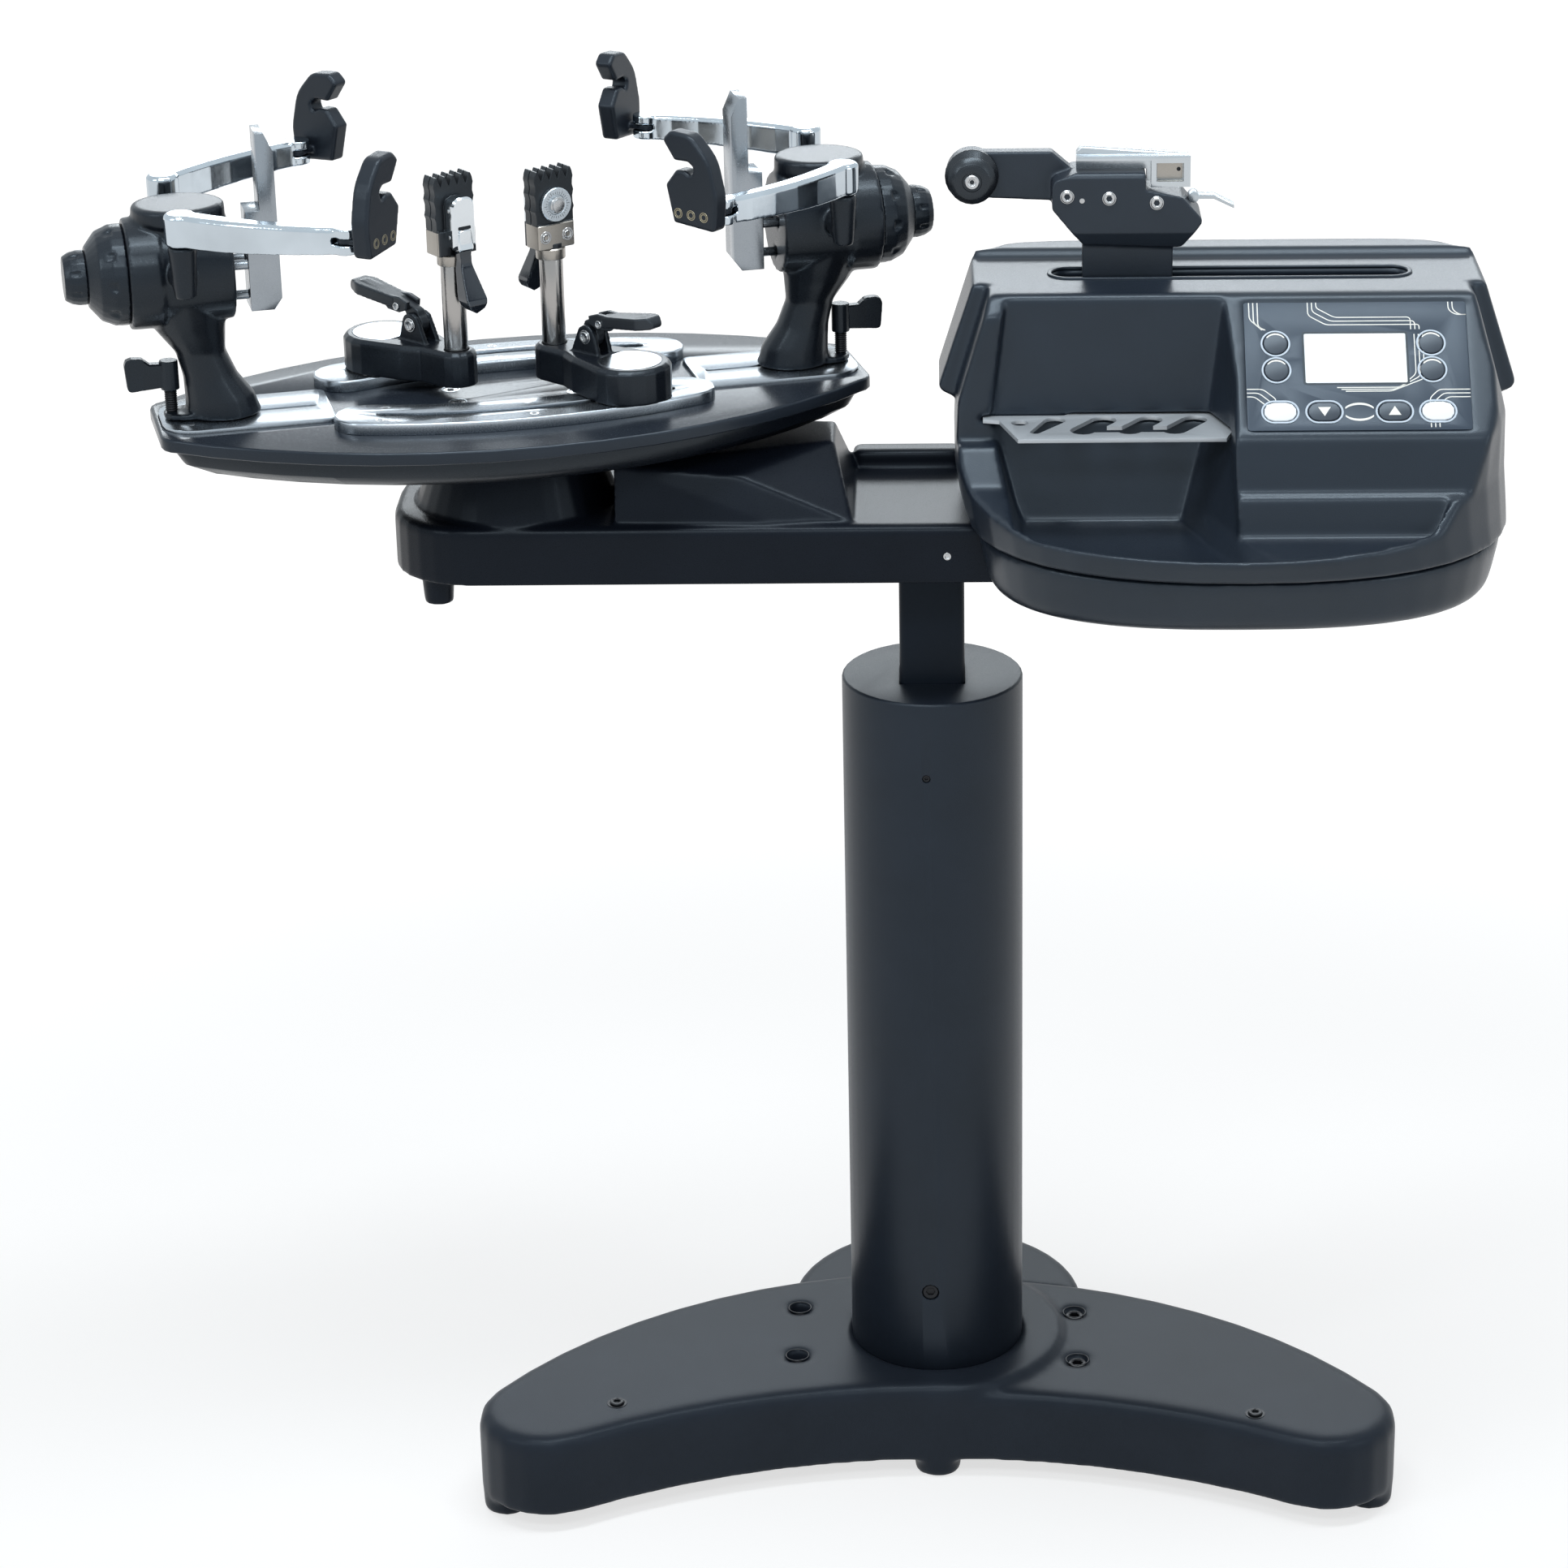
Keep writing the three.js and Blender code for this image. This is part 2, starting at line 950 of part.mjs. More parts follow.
function armHump() {
  const top = arm.bottom + arm.height;
  const high = top + arm.humpHeight;
  const base = top - arm.edge;
  const side = arm.half - arm.edge;
  const points = [
    [-arm.humpLeft, -arm.humpFront, high], [-arm.humpLeft, arm.humpFront, high],
    [-arm.humpApexX, -arm.humpFront, high - arm.humpApexDrop], [-arm.humpRight, arm.humpRightBack, high],
    [-arm.humpRight, -arm.humpRightFront, high], [-arm.humpToe, -arm.humpToeFront, top],
    [-arm.humpToe, arm.humpToeFront, top], [-arm.humpToe, arm.humpToeFront, base],
    [-arm.humpToe, -arm.humpToeFront, base], [-arm.humpCrestX, -side, base], [-arm.humpCrestX, -side, top],
    [-arm.humpLeft, -side, base], [-arm.humpLeft, side, base],
    [-arm.humpCrestX, side, base],
  ];
  return new ConvexGeometry(points.map(([x, y, z]) => new THREE.Vector3(x, y, z)));
}

function armHousing() {
  const top = arm.bottom + arm.height;
  const outline = rounded([
    [-arm.left, -arm.half, arm.endRadius], [arm.right, -arm.half, 0],
    [arm.right, arm.half, 0], [-arm.left, arm.half, arm.endRadius],
  ], 7);
  const body = domed(outline, arm.bottom, top, arm.edge, 2);
  const turret = rod(arm.turretFoot, top - arm.edge, top + arm.turretHeight, 36, arm.turretRadius);
  const ribOutline = rectangle(
    [-arm.ribStart, arm.ribEnd],
    [arm.half - arm.ribWidth, arm.half],
    arm.edge,
  );
  const rib = domed(ribOutline, top - arm.edge * 2, top + arm.ribHeight, arm.edge / 2, 1);
  const foot = rod(arm.benchFootTip, arm.bottom - arm.benchFootDrop, arm.bottom + arm.edge, 16, arm.benchFootTop);
  const spindle = rod(table.hubRadius, top, table.top - table.plate - slip, 24).translate(table.x, 0, 0);
  const hump = armHump();
  const joined = join(
    body,
    turret.translate(table.x, 0, 0),
    rib,
    hump,
    foot.translate(-arm.benchFootX, -arm.benchFootY, 0),
    spindle,
  );
  const half = mast.side / 2 + slip;
  const mastSocket = block([-half, half], [-half, half], [arm.bottom - overrun, arm.bottom + mast.seat]);
  const screw = rodY(arm.sideScrewRadius, -arm.half - overrun, -arm.half + arm.sideScrewDepth, 10);
  return cut(joined, mastSocket, screw.translate(arm.sideScrewX, 0, arm.sideScrewZ));
}

// Turntable, in its own frame with the long axis on X.

function tableOutline(inset) {
  const radius = table.arcRadius - inset;
  const centre = table.arcRadius - table.half;
  const end = table.end - inset;
  const edgeAngle = THREE.MathUtils.radToDeg(Math.acos(end / radius));
  const edgeY = radius * Math.sin(radians(edgeAngle)) - centre;
  const arcPoints = arc(0, -centre, radius, edgeAngle, 180 - edgeAngle, 14);
  const frontPoints = arc(0, centre, radius, 180 + edgeAngle, 360 - edgeAngle, 14);
  const trim = (points) => points.slice(1, -1);
  const corner = (sideX, sideY) => {
    const cx = sideX * (end - table.endCorner);
    const cy = sideY * (edgeY - table.endCorner / 2);
    const from = { '1,1': 0, '-1,1': 90, '-1,-1': 180, '1,-1': 270 }[`${sideX},${sideY}`];
    return arc(cx, cy, table.endCorner, from + (from % 180 ? 20 : 0), from + (from % 180 ? 90 : 70), 3);
  };
  return [
    ...corner(1, 1), ...trim(arcPoints), ...corner(-1, 1),
    ...corner(-1, -1), ...trim(frontPoints), ...corner(1, -1),
  ];
}

function tableDish() {
  const high = table.top - table.plate;
  const depthShares = [1, 0.86, 0.52, 0];
  const sizeShares = [0.8, 0.9, 0.97, 1];
  const rings = depthShares.map((share, i) => {
    const outline = tableOutline(table.dishInset);
    return [high - table.dishDepth * share, outline.map(([x, y]) => [x * sizeShares[i], y * sizeShares[i]])];
  });
  const seat = arm.bottom + arm.height + arm.turretHeight + slip;
  const hubWay = rod(table.hubRadius + slip, seat - overrun, high + overrun, 24);
  const skirt = rod(table.spindleRadius, seat, high - table.dishDepth / 2, 28);
  return cut(join(lofted(rings), skirt), hubWay);
}

function endRailOutline(side, grow) {
  const [inner, outer] = [endRail.inner - grow, endRail.outer + grow];
  const half = endRail.half + grow;
  const corners = [
    [inner, -half, endRail.innerCorner], [outer, -half, endRail.outerCorner],
    [outer, half, endRail.outerCorner], [inner, half, endRail.innerCorner],
  ];
  const points = rounded(corners, 4);
  return side > 0 ? points : points.map(([x, y]) => [-x, -y]);
}

function endRailPlate(side) {
  const top = table.top + endRail.proud;
  const body = prism(endRailOutline(side, 0), top - endRail.thickness, top);
  const centre = side * (endRail.slotInner + endRail.slotOuter) / 2;
  const halfLength = (endRail.slotOuter - endRail.slotInner) / 2;
  const way = prism(slotOutline(centre, 0, halfLength, endRail.slotHalf, 3), table.top - overrun, top + overrun);
  return cut(body, way);
}

function clampRailOutline(halfLength, half, steps) {
  const spread = THREE.MathUtils.radToDeg(Math.asin(halfLength / clampRail.radius));
  const centre = clampRail.reach - clampRail.radius;
  const [first, last] = [90 - spread, 90 + spread];
  const endX = clampRail.radius * Math.cos(radians(first));
  const endY = centre + clampRail.radius * Math.sin(radians(first));
  return [
    ...arc(0, centre, clampRail.radius + half, first, last, steps),
    ...arc(-endX, endY, half, last, last + 180, steps > 8 ? 7 : 4),
    ...arc(0, centre, clampRail.radius - half, last, first, steps),
    ...arc(endX, endY, half, first + 180, first + 360, steps > 8 ? 7 : 4),
  ];
}

function clampRailPlate(side) {
  const high = table.top + clampRail.thickness;
  const body = domed(clampRailOutline(clampRail.halfLength, clampRail.half, 10), table.top, high, clampRail.edge, 1);
  const way = clampRailOutline(clampRail.slotHalfLength, clampRail.slotHalf, 8);
  const plate = cut(body, prism(way, table.top - overrun, high + overrun));
  return side > 0 ? plate : plate.rotateZ(Math.PI);
}

function tablePlate() {
  const low = table.top - table.plate;
  const body = slab(tableOutline(0), low, table.top, table.edge, 1);
  const bed = table.top + endRail.proud - endRail.thickness;
  const pockets = [-1, 1].map((side) => prism(endRailOutline(side, slip), bed, table.top + overrun));
  const ways = [-1, 1].map((side) => {
    const centre = side * (endRail.slotInner + endRail.slotOuter) / 2;
    const halfLength = (endRail.slotOuter - endRail.slotInner) / 2;
    return prism(slotOutline(centre, 0, halfLength, endRail.slotHalf, 3), low + table.plate / 4, table.top);
  });
  const screws = [-1, 1].flatMap((sx) => [-1, 1].map((sy) => {
    const sink = rod(table.screwRadius, table.top - table.screwDepth, table.top + overrun, 10);
    return sink.translate(sx * table.screwX, sy * table.screwY, 0);
  }));
  return cut(body, ...pockets, ...ways, ...screws);
}

// Towers, in a frame on the rail's top with +X towards the middle of the table.

function towerNeck() {
  const ringOf = (z, cx, halfX, halfY) => [z, arc(cx, 0, halfX, 0, 360, 16, halfY).slice(0, -1)];
  const heights = tower.neckWaistZ;
  const shoulder = tower.axisHeight - tower.bodyRadius / 2;
  return lofted([
    ringOf(0, 0, tower.footHalfX, tower.footHalfY),
    ringOf(tower.footHeight * 3, -2, tower.footHalfX * 0.92, tower.footHalfY * 0.94),
    ringOf(heights * 0.62, -8, tower.footHalfX * 0.72, tower.footHalfY * 0.8),
    ringOf(heights, -14, tower.footHalfX * 0.66, tower.footHalfY * 0.76),
    ringOf(heights * 1.35, -20, tower.footHalfX * 0.92, tower.footHalfY),
    ringOf(shoulder, -25, tower.footHalfX * 1.2, tower.footHalfY * 1.4),
  ]);
}

function towerCasting() {
  const z = tower.axisHeight;
  const flange = rodX(tower.flangeRadius, tower.flangeX, tower.flangeX + tower.flangeLength, 32);
  const barrel = rodX(tower.bodyRadius + 1, tower.flangeX + tower.flangeLength - 1, tower.bodyEnd, 28, tower.bodyRadius);
  const capLow = tower.capTop - tower.capThickness;
  const capRing = arc(tower.capX, 0, tower.capHalfX, 0, 360, 28, tower.capHalfY).slice(0, -1);
  const collarRing = arc(tower.capX, 0, tower.capHalfX - 3, 0, 360, 20, tower.capHalfY - 3).slice(0, -1);
  const cap = slab(capRing, capLow, tower.capTop, tower.capGroove * 1.5, 1);
  const collar = prism(collarRing, z, capLow + tower.capGroove);
  const ears = [-1, 1].map((side) => {
    const ear = rod(towerArm.earRadius - 3, towerArm.earBottom - 12, towerArm.earTop, 14, towerArm.earRadius);
    const web = rodY(towerArm.earRadius - 1, 0, towerArm.pivotY, 10).translate(0, 0, towerArm.earBottom);
    const stud = rod(towerArm.studRadius, z, towerArm.earTop + towerArm.studHeight, 10);
    const arranged = join(ear.translate(0, towerArm.pivotY, 0), web, stud.translate(0, towerArm.pivotY, 0));
    const placed = arranged.translate(towerArm.pivotX, 0, 0);
    return side > 0 ? placed : mirrorY(placed);
  });
  const foot = prism(slotOutline(
    -(tower.footStudX - tower.footHalfX) / 2 - lever.hubRadius / 2,
    0,
    (tower.footStudX + tower.footHalfX) / 2 + lever.hubRadius / 2,
    tower.footHalfY * 0.6,
    5,
  ), 0, tower.footHeight);
  const key = block([-tower.keyLength / 2, tower.keyLength / 2], [-tower.keyHalf, tower.keyHalf], [-tower.keyDepth, 1]);
  const body = join(
    flange.translate(0, 0, z),
    barrel.translate(0, 0, z),
    towerNeck(),
    collar,
    cap,
    ...ears,
    foot,
    key,
  );
  const knobWay = rodX(towerKnob.spigotRadius + slip, tower.flangeX - overrun, tower.flangeX + towerKnob.spigotLength + slip, 16);
  const pins = pinPlaces().map(([y, pinZ]) => {
    return rodX(post.pinRadius + slip, tower.bodyEnd - post.pinSocket, tower.bodyEnd + overrun, 10).translate(0, y, pinZ);
  });
  const studWay = rod(lever.studRadius + slip, tower.footHeight / 2, tower.footHeight + overrun, 10);
  return cut(body, knobWay.translate(0, 0, z), ...pins, studWay.translate(-tower.footStudX, 0, 0));
}

function pinPlaces() {
  return [[-post.pinSpread, post.upperPinZ], [post.pinSpread, post.upperPinZ], [0, post.lowerPinZ]];
}

function fluted(radius, low, high, grooves, grooveRadius, crown) {
  const profile = [
    [0, low], [radius, low], [radius, low + (high - low) * 0.35],
    [radius - crown * 0.3, low + (high - low) * 0.7], [radius - crown, high], [0, high],
  ];
  const blank = turned(profile, grooves * 3);
  const cutters = [];
  for (let i = 0; i < grooves; i += 1) {
    const groove = rod(grooveRadius, low + (high - low) * 0.28, high + overrun, 6, grooveRadius * 1.5);
    cutters.push(groove.translate(radius + grooveRadius * 0.45, 0, 0).rotateZ(radians(360 * (i + 0.5) / grooves)));
  }
  return cut(blank, ...cutters);
}

function armKnob() {
  const start = -tower.flangeX + slip;
  const end = start + towerKnob.bigLength;
  const body = fluted(towerKnob.bigRadius, start, end, towerKnob.bigGrooves, towerKnob.bigGrooveRadius, 15);
  const spigot = rod(towerKnob.spigotRadius, start - towerKnob.spigotLength, start + 1, 16);
  const bore = rod(towerKnob.screwRadius + slip, start - overrun * 2, end + overrun, 12);
  return cut(join(body, spigot), bore).rotateY(-Math.PI / 2).translate(0, 0, tower.axisHeight);
}

function postKnob() {
  const start = -tower.flangeX + slip * 2 + towerKnob.bigLength;
  const end = start + towerKnob.smallLength;
  const body = fluted(towerKnob.smallRadius, start, end, towerKnob.smallGrooves, towerKnob.smallGrooveRadius, 4);
  const screw = rod(towerKnob.screwRadius, -tower.flangeX - towerKnob.spigotLength + 1, start + 1, 12);
  return join(body, screw).rotateY(-Math.PI / 2).translate(0, 0, tower.axisHeight);
}

function lockLever() {
  const low = lever.bottom;
  const high = low + lever.height;
  const hub = rod(lever.hubRadius, low, high, 14);
  const reach = lever.reach;
  const paddle = sidePrism(rounded([
    [0, low + 3, 0], [-reach + 2, low, 3], [-reach, high + 4, lever.tipRadius],
    [-reach * 0.55, high + 3, 3], [-reach * 0.45, high - 7, 2], [0, high - 8, 0],
  ], 2), -lever.bladeHalf, lever.bladeHalf);
  const stud = rod(lever.studRadius, tower.footHeight / 2 + slip, low + 1, 10);
  return join(hub, paddle, stud).translate(-tower.footStudX, 0, 0);
}

// The height of the fork at the arm's outer end.
function armMiddle() {
  return towerArm.bottom + towerArm.heightInner - towerArm.heightOuter / 2;
}

// From the arm's barrel to the foot of the pad.
function tongueRun() {
  const inward = new THREE.Vector2(pad.innerX - pad.outerX, pad.innerY - pad.outerY);
  const foot = new THREE.Vector2(pad.outerX, pad.outerY).addScaledVector(inward, 0.3);
  return foot.sub(new THREE.Vector2(towerArm.endX, towerArm.endY));
}

// The +Y arm: a flat bar bowed outwards from its pivot eye to the barrel that holds the pad.
function towerArmBar() {
  const a = new THREE.Vector2(towerArm.pivotX, towerArm.pivotY);
  const b = new THREE.Vector2(towerArm.endX, towerArm.endY);
  const middlePoint = a.clone().lerp(b, 0.5);
  const across = b.clone().sub(a).normalize().rotateAround(new THREE.Vector2(), Math.PI / 2);
  middlePoint.addScaledVector(across, towerArm.bow * 2);
  const curve = new THREE.QuadraticBezierCurve(a, middlePoint, b);
  const steps = 6;
  const sides = [[], []];
  for (let i = 0; i <= steps; i += 1) {
    const share = i / steps;
    const at = curve.getPoint(share);
    const normal = curve.getTangent(share).rotateAround(new THREE.Vector2(), Math.PI / 2);
    const half = towerArm.thick / 2 * (1.15 - 0.3 * share);
    sides[0].push([at.x + normal.x * half, at.y + normal.y * half]);
    sides[1].unshift([at.x - normal.x * half, at.y - normal.y * half]);
  }
  const low = towerArm.bottom;
  const inner = low + towerArm.heightInner;
  const rise = towerArm.heightInner - towerArm.heightOuter;
  const bar = slab([...sides[0], ...sides[1]], low, inner, 2, 1);
  const eye = slab(arc(a.x, a.y, towerArm.pivotRadius, 0, 360, 16).slice(0, -1), low, inner, 2, 1);
  const barrel = rod(towerArm.barrelRadius, low, inner, 16).translate(b.x, b.y, 0);
  const reachX = [a.x - overrun, b.x + overrun * 3];
  const trim = sidePrism([
    [a.x, low], [reachX[0], low], [reachX[0], low - overrun], [reachX[1], low - overrun],
    [reachX[1], low + rise * 1.2],
  ], 0, b.y * 2);
  const solid = cut(join(bar, eye, barrel), trim);
  const mid = armMiddle();
  const fork = block(
    [-towerArm.barrelRadius + 1.4, towerArm.barrelRadius * 3],
    [-towerArm.barrelRadius * 1.6, towerArm.barrelRadius * 1.6],
    [mid - towerArm.slotHeight / 2, mid + towerArm.slotHeight / 2],
  ).rotateZ(tongueRun().angle()).translate(b.x, b.y, 0);
  const pin = rod(towerArm.pinRadius, mid - towerArm.slotHeight, mid + towerArm.slotHeight, 10).translate(b.x, b.y, 0);
  const studWay = rod(towerArm.studRadius + slip, low - overrun, towerArm.earTop + towerArm.studHeight + slip, 10);
  return cut(join(cut(solid, fork), pin), studWay.translate(a.x, a.y, 0));
}

// The +Y pad: a hook plate that stands on the radius to the racket frame, with a tongue on the arm's pin.
function hookPad() {
  const corners = padShares.map(([x, y, radius]) => [pad.width * x, pad.height * y, radius]);
  const shape = rounded(corners, 3);
  const plate = slab(shape, -pad.thickness / 2, pad.thickness / 2, pad.edge, 1).rotateX(Math.PI / 2);
  const inward = new THREE.Vector2(pad.innerX - pad.outerX, pad.innerY - pad.outerY);
  const placed = plate.rotateZ(inward.angle()).translate(pad.outerX, pad.outerY, pad.bottom);
  const mid = armMiddle();
  const half = towerArm.slotHeight / 2 - slip;
  const end = new THREE.Vector2(towerArm.endX, towerArm.endY);
  const run = tongueRun();
  const eye = rod(towerArm.barrelRadius - 2, mid - half, mid + half, 14).translate(end.x, end.y, 0);
  const tongue = block([0, run.length()], [-towerArm.barrelRadius + 3, towerArm.barrelRadius - 3], [mid - half, mid + half]);
  const bore = rod(towerArm.pinRadius + slip, mid - overrun, mid + overrun, 10).translate(end.x, end.y, 0);
  return cut(join(placed, eye, tongue.rotateZ(run.angle()).translate(end.x, end.y, 0)), bore);
}

function centrePost() {
  const outerBlock = post.inner - post.block;
  const outerBlade = post.inner - post.blade;
  const shape = [
    [outerBlock, post.bottom], [post.inner - post.bottomChamfer, post.bottom],
    [post.inner, post.bottom + post.bottomChamfer * 1.4], [post.inner, post.top - post.topChamfer],
    [post.inner - post.blade / 2, post.top], [outerBlade, post.top], [outerBlade, post.step], [outerBlock, post.step],
  ];
  const body = sidePrism(shape, -post.halfY, post.halfY);
  const pins = pinPlaces().map(([y, z]) => {
    return rodX(post.pinRadius, tower.bodyEnd - post.pinSocket / 2 - 1, outerBlock + 1, 10).translate(0, y, z);
  });
  return join(body, ...pins);
}

function buildTower(side, pieces) {
  const name = side < 0 ? 'left_tower' : 'right_tower';
  const frontIsMinusY = side < 0;
  const group = new THREE.Group();
  const bar = towerArmBar();
  const hook = hookPad();
  const rear = frontIsMinusY ? [bar, hook] : [mirrorY(bar), mirrorY(hook)];
  const front = frontIsMinusY ? [mirrorY(bar), mirrorY(hook)] : [bar, hook];
  group.add(
    piece(`${name}_casting`, towerCasting(), looks.castBlack),
    piece(`${name}_arm_knob`, armKnob(), looks.plain),
    piece(`${name}_post_knob`, postKnob(), looks.plain),
    piece(`${name}_lock_lever`, lockLever(), looks.plain),
    piece(`${name}_arm_front`, front[0], looks.polished),
    piece(`${name}_arm_rear`, rear[0], looks.polished),
    piece(`${name}_pad_front`, front[1], looks.rubber),
    piece(`${name}_pad_rear`, rear[1], looks.rubber),
    piece(`${name}_centre_post`, centrePost(), looks.satin),
  );
  group.position.set(side * tower.reach, 0, table.top + endRail.proud);
  group.rotation.z = side < 0 ? 0 : Math.PI;
  pieces.add(group);
}

// String clamps, in a frame on the clamp rail's top with the post on the axis and the wide end along +X.

function clampBase() {
  const wide = clamp.wideRadius;
  const narrow = clamp.narrowRadius;
  const outline = [
    ...arc(clamp.swing, 0, wide, -100, 100, 11),
    [clamp.swing * 0.5, wide * 0.72], [clamp.swing * 0.3, narrow * 1.05],
    ...arc(0, 0, narrow, 95, 265, 7),
    [clamp.swing * 0.3, -narrow * 1.05], [clamp.swing * 0.5, -wide * 0.72],
  ];
  const body = domed(outline, slip, clamp.height, clamp.edge, 1);
  const recess = rod(clamp.recessRadius, clamp.height - clamp.recessDepth, clamp.height + overrun, 20);
  const lugs = [-1, 1].map((side) => {
    const near = clamp.lugGap / 2;
    const band = side > 0 ? [near, near + clamp.lugHalf] : [-near - clamp.lugHalf, -near];
    const lug = sidePrism([
      [clamp.lugX - 16, clamp.height - 2], [clamp.lugX + 13, clamp.height - 2],
      ...arc(clamp.lugX, clampLever.pivotZ, clamp.lugRadius, 10, 170, 5),
    ], band[0], band[1]);
    return lug;
  });
  const tenon = rod(clamp.tenonHalf, -clamp.tenonDepth, clamp.height / 2, 12);
  const postWay = rod(clamp.postRadius + slip, clamp.height - clamp.postSocket, clamp.height + overrun, 20);
  const pin = rodY(clampLever.pinRadius, -clamp.lugGap / 2 - 1, clamp.lugGap / 2 + 1, 8);
  const joined = join(
    cut(body, recess.translate(clamp.swing, 0, 0), postWay),
    ...lugs,
    tenon.translate(clamp.swing, 0, 0),
    pin.translate(clamp.lugX, 0, clampLever.pivotZ),
  );
  return joined;
}

function clampBaseLever() {
  const gap = clamp.lugGap / 2 - slip;
  const z = clampLever.pivotZ;
  const eye = rodY(clampLever.eyeRadius, -gap, gap, 14).translate(clamp.lugX, 0, z);
  const arch = sidePrism(rounded([
    [clamp.lugX - 6, z + 2, 0], [clamp.lugX + 6, z + 2, 0], [clamp.lugX + 9, z + 8, 0],
    [clamp.lugX + clampLever.length, z + clampLever.rise, 4],
    [clamp.lugX + clampLever.length - 4, z + clampLever.rise + clampLever.thick, 4],
    [clamp.lugX + 16, z + clampLever.thick + 9, 6], [clamp.lugX - 5, z + clampLever.thick + 2, 4],
  ], 2), -gap, gap);
  const paddleOutline = rounded([
    [clamp.lugX + 14, -clampLever.half * 0.7, 3], [clamp.lugX + clampLever.length - 8, -clampLever.half, 8],
    [clamp.lugX + clampLever.length + 6, -4, 4], [clamp.lugX + clampLever.length + 6, 4, 4],
    [clamp.lugX + clampLever.length - 8, clampLever.half, 8], [clamp.lugX + 14, clampLever.half * 0.7, 3],
  ], 2);
  const profile = sidePrism(rounded([
    [clamp.lugX + 13, z + 9, 2], [clamp.lugX + clampLever.length + 7, z + clampLever.rise + 1, 3],
    [clamp.lugX + clampLever.length, z + clampLever.rise + clampLever.thick, 3],
    [clamp.lugX + 13, z + clampLever.thick + 9, 2],
  ], 2), -clampLever.half * 2, clampLever.half * 2);
  const paddle = common(prism(paddleOutline, z, z + clampLever.length), profile);
  const bore = rodY(clampLever.pinRadius + slip, -overrun, overrun, 8).translate(clamp.lugX, 0, z);
  return cut(join(eye, arch, paddle), bore);
}

function clampPost() {
  return rod(clamp.postRadius, clamp.height - clamp.postSocket + slip, clamp.postTop, 20);
}

// The jaw head, with the dial on -Y and the latch on +Y.
function jawHead() {
  const z = clamp.postTop;
  const collar = rod(head.collarRadius, z - head.collarHeight, z + 4, 18);
  const bore = rod(clamp.postRadius + slip, z - head.collarHeight - overrun, z + slip, 20);
  const base = block(
    [-head.blockHalfX, head.blockHalfX],
    [-head.blockFront, head.blockBack],
    [z + 1, z + head.blockHeight],
  );
  const jawLow = z + head.blockHeight - 2;
  const jawTop = z + head.blockHeight + head.jawHeight;
  const tooth = (front, back) => {
    const parts = [block([-head.jawHalfX, head.jawHalfX], [front, back], [jawLow, jawTop - head.toothDepth])];
    const pitch = (head.jawHalfX - head.toothHalf) * 2 / (head.teeth - 1);
    for (let i = 0; i < head.teeth; i += 1) {
      const x = -head.jawHalfX + head.toothHalf + i * pitch;
      const peak = sidePrism([
        [x - head.toothHalf, jawTop - head.toothDepth - 1], [x + head.toothHalf, jawTop - head.toothDepth - 1],
        [x + head.toothHalf * 0.55, jawTop], [x - head.toothHalf * 0.55, jawTop],
      ], front, back);
      parts.push(peak);
    }
    return parts;
  };
  const middleGap = head.gap / 2;
  const frontJaw = tooth(-head.jawFront, -middleGap);
  const backJaw = tooth(middleGap, head.jawFront - 1);
  const dialZ = z + head.dialZ;
  const dial = rodY(head.dialRadius, -head.jawFront - head.dialThickness, -head.jawFront + 1, 24).translate(0, 0, dialZ);
  const hubFront = -head.jawFront - head.dialThickness - head.dialHubHeight;
  const hub = rodY(head.dialHubRadius, hubFront, -head.jawFront, 12).translate(0, 0, dialZ);
  const latchOutline = rounded([
    [-head.latchHalf, z + head.latchBottom, 0], [head.latchHalf, z + head.latchBottom, 0],
    [head.latchHalf, z + head.latchTop, head.latchHalf * 0.7], [-head.latchHalf, z + head.latchTop, head.latchHalf * 0.7],
  ], 2);
  const latchBack = head.blockBack + head.latchDepth;
  const latch = sidePrism(latchOutline, head.jawFront - 2, latchBack);
  const handleWay = block(
    [-handle.half - slip, handle.half + slip],
    [head.blockBack - 1, latchBack + overrun],
    [z + head.latchBottom - overrun, z + handle.pivotZ + handle.eyeRadius + 1.5],
  );
  const pin = rodX(handle.pinRadius, -head.latchHalf + 1, head.latchHalf - 1, 8);
  const shell = cut(join(base, ...frontJaw, ...backJaw, latch, collar, dial, hub), handleWay, bore);
  return join(shell, pin.translate(0, head.blockBack + handle.eyeRadius, z + handle.pivotZ));
}

function jawHandle() {
  const y = head.blockBack + handle.eyeRadius;
  const z = clamp.postTop + handle.pivotZ;
  const eye = rodX(handle.eyeRadius - slip, -handle.half, handle.half, 12).translate(0, y, z);
  const drop = handle.length;
  const side = rounded([
    [y - handle.root + 1, z, 0], [y + handle.root - 1, z, 0],
    [y + handle.root + 1, z - drop * 0.35, 10], [y + handle.lean + handle.root + 3, z - drop * 0.78, 8],
    [y + handle.lean + 2, z - drop, 3], [y + handle.lean - handle.root, z - drop * 0.85, 8],
    [y - handle.root + 3, z - drop * 0.4, 10],
  ], 2);
  const face = rounded([
    [-handle.half * 0.9, z, 0], [-handle.half * 0.75, z - drop * 0.3, 6], [-handle.bulge, z - drop * 0.75, 8],
    [0, z - drop - 2, 7], [handle.bulge, z - drop * 0.75, 8], [handle.half * 0.75, z - drop * 0.3, 6],
    [handle.half * 0.9, z, 0],
  ], 2);
  const body = common(
    crossPrism(side, -handle.bulge * 2, handle.bulge * 2),
    sidePrism(face, y - overrun * 3, y + overrun * 4),
  );
  const bore = rodX(handle.pinRadius + slip, -overrun * 2, overrun * 2, 8).translate(0, y, z);
  return cut(join(eye, body), bore);
}

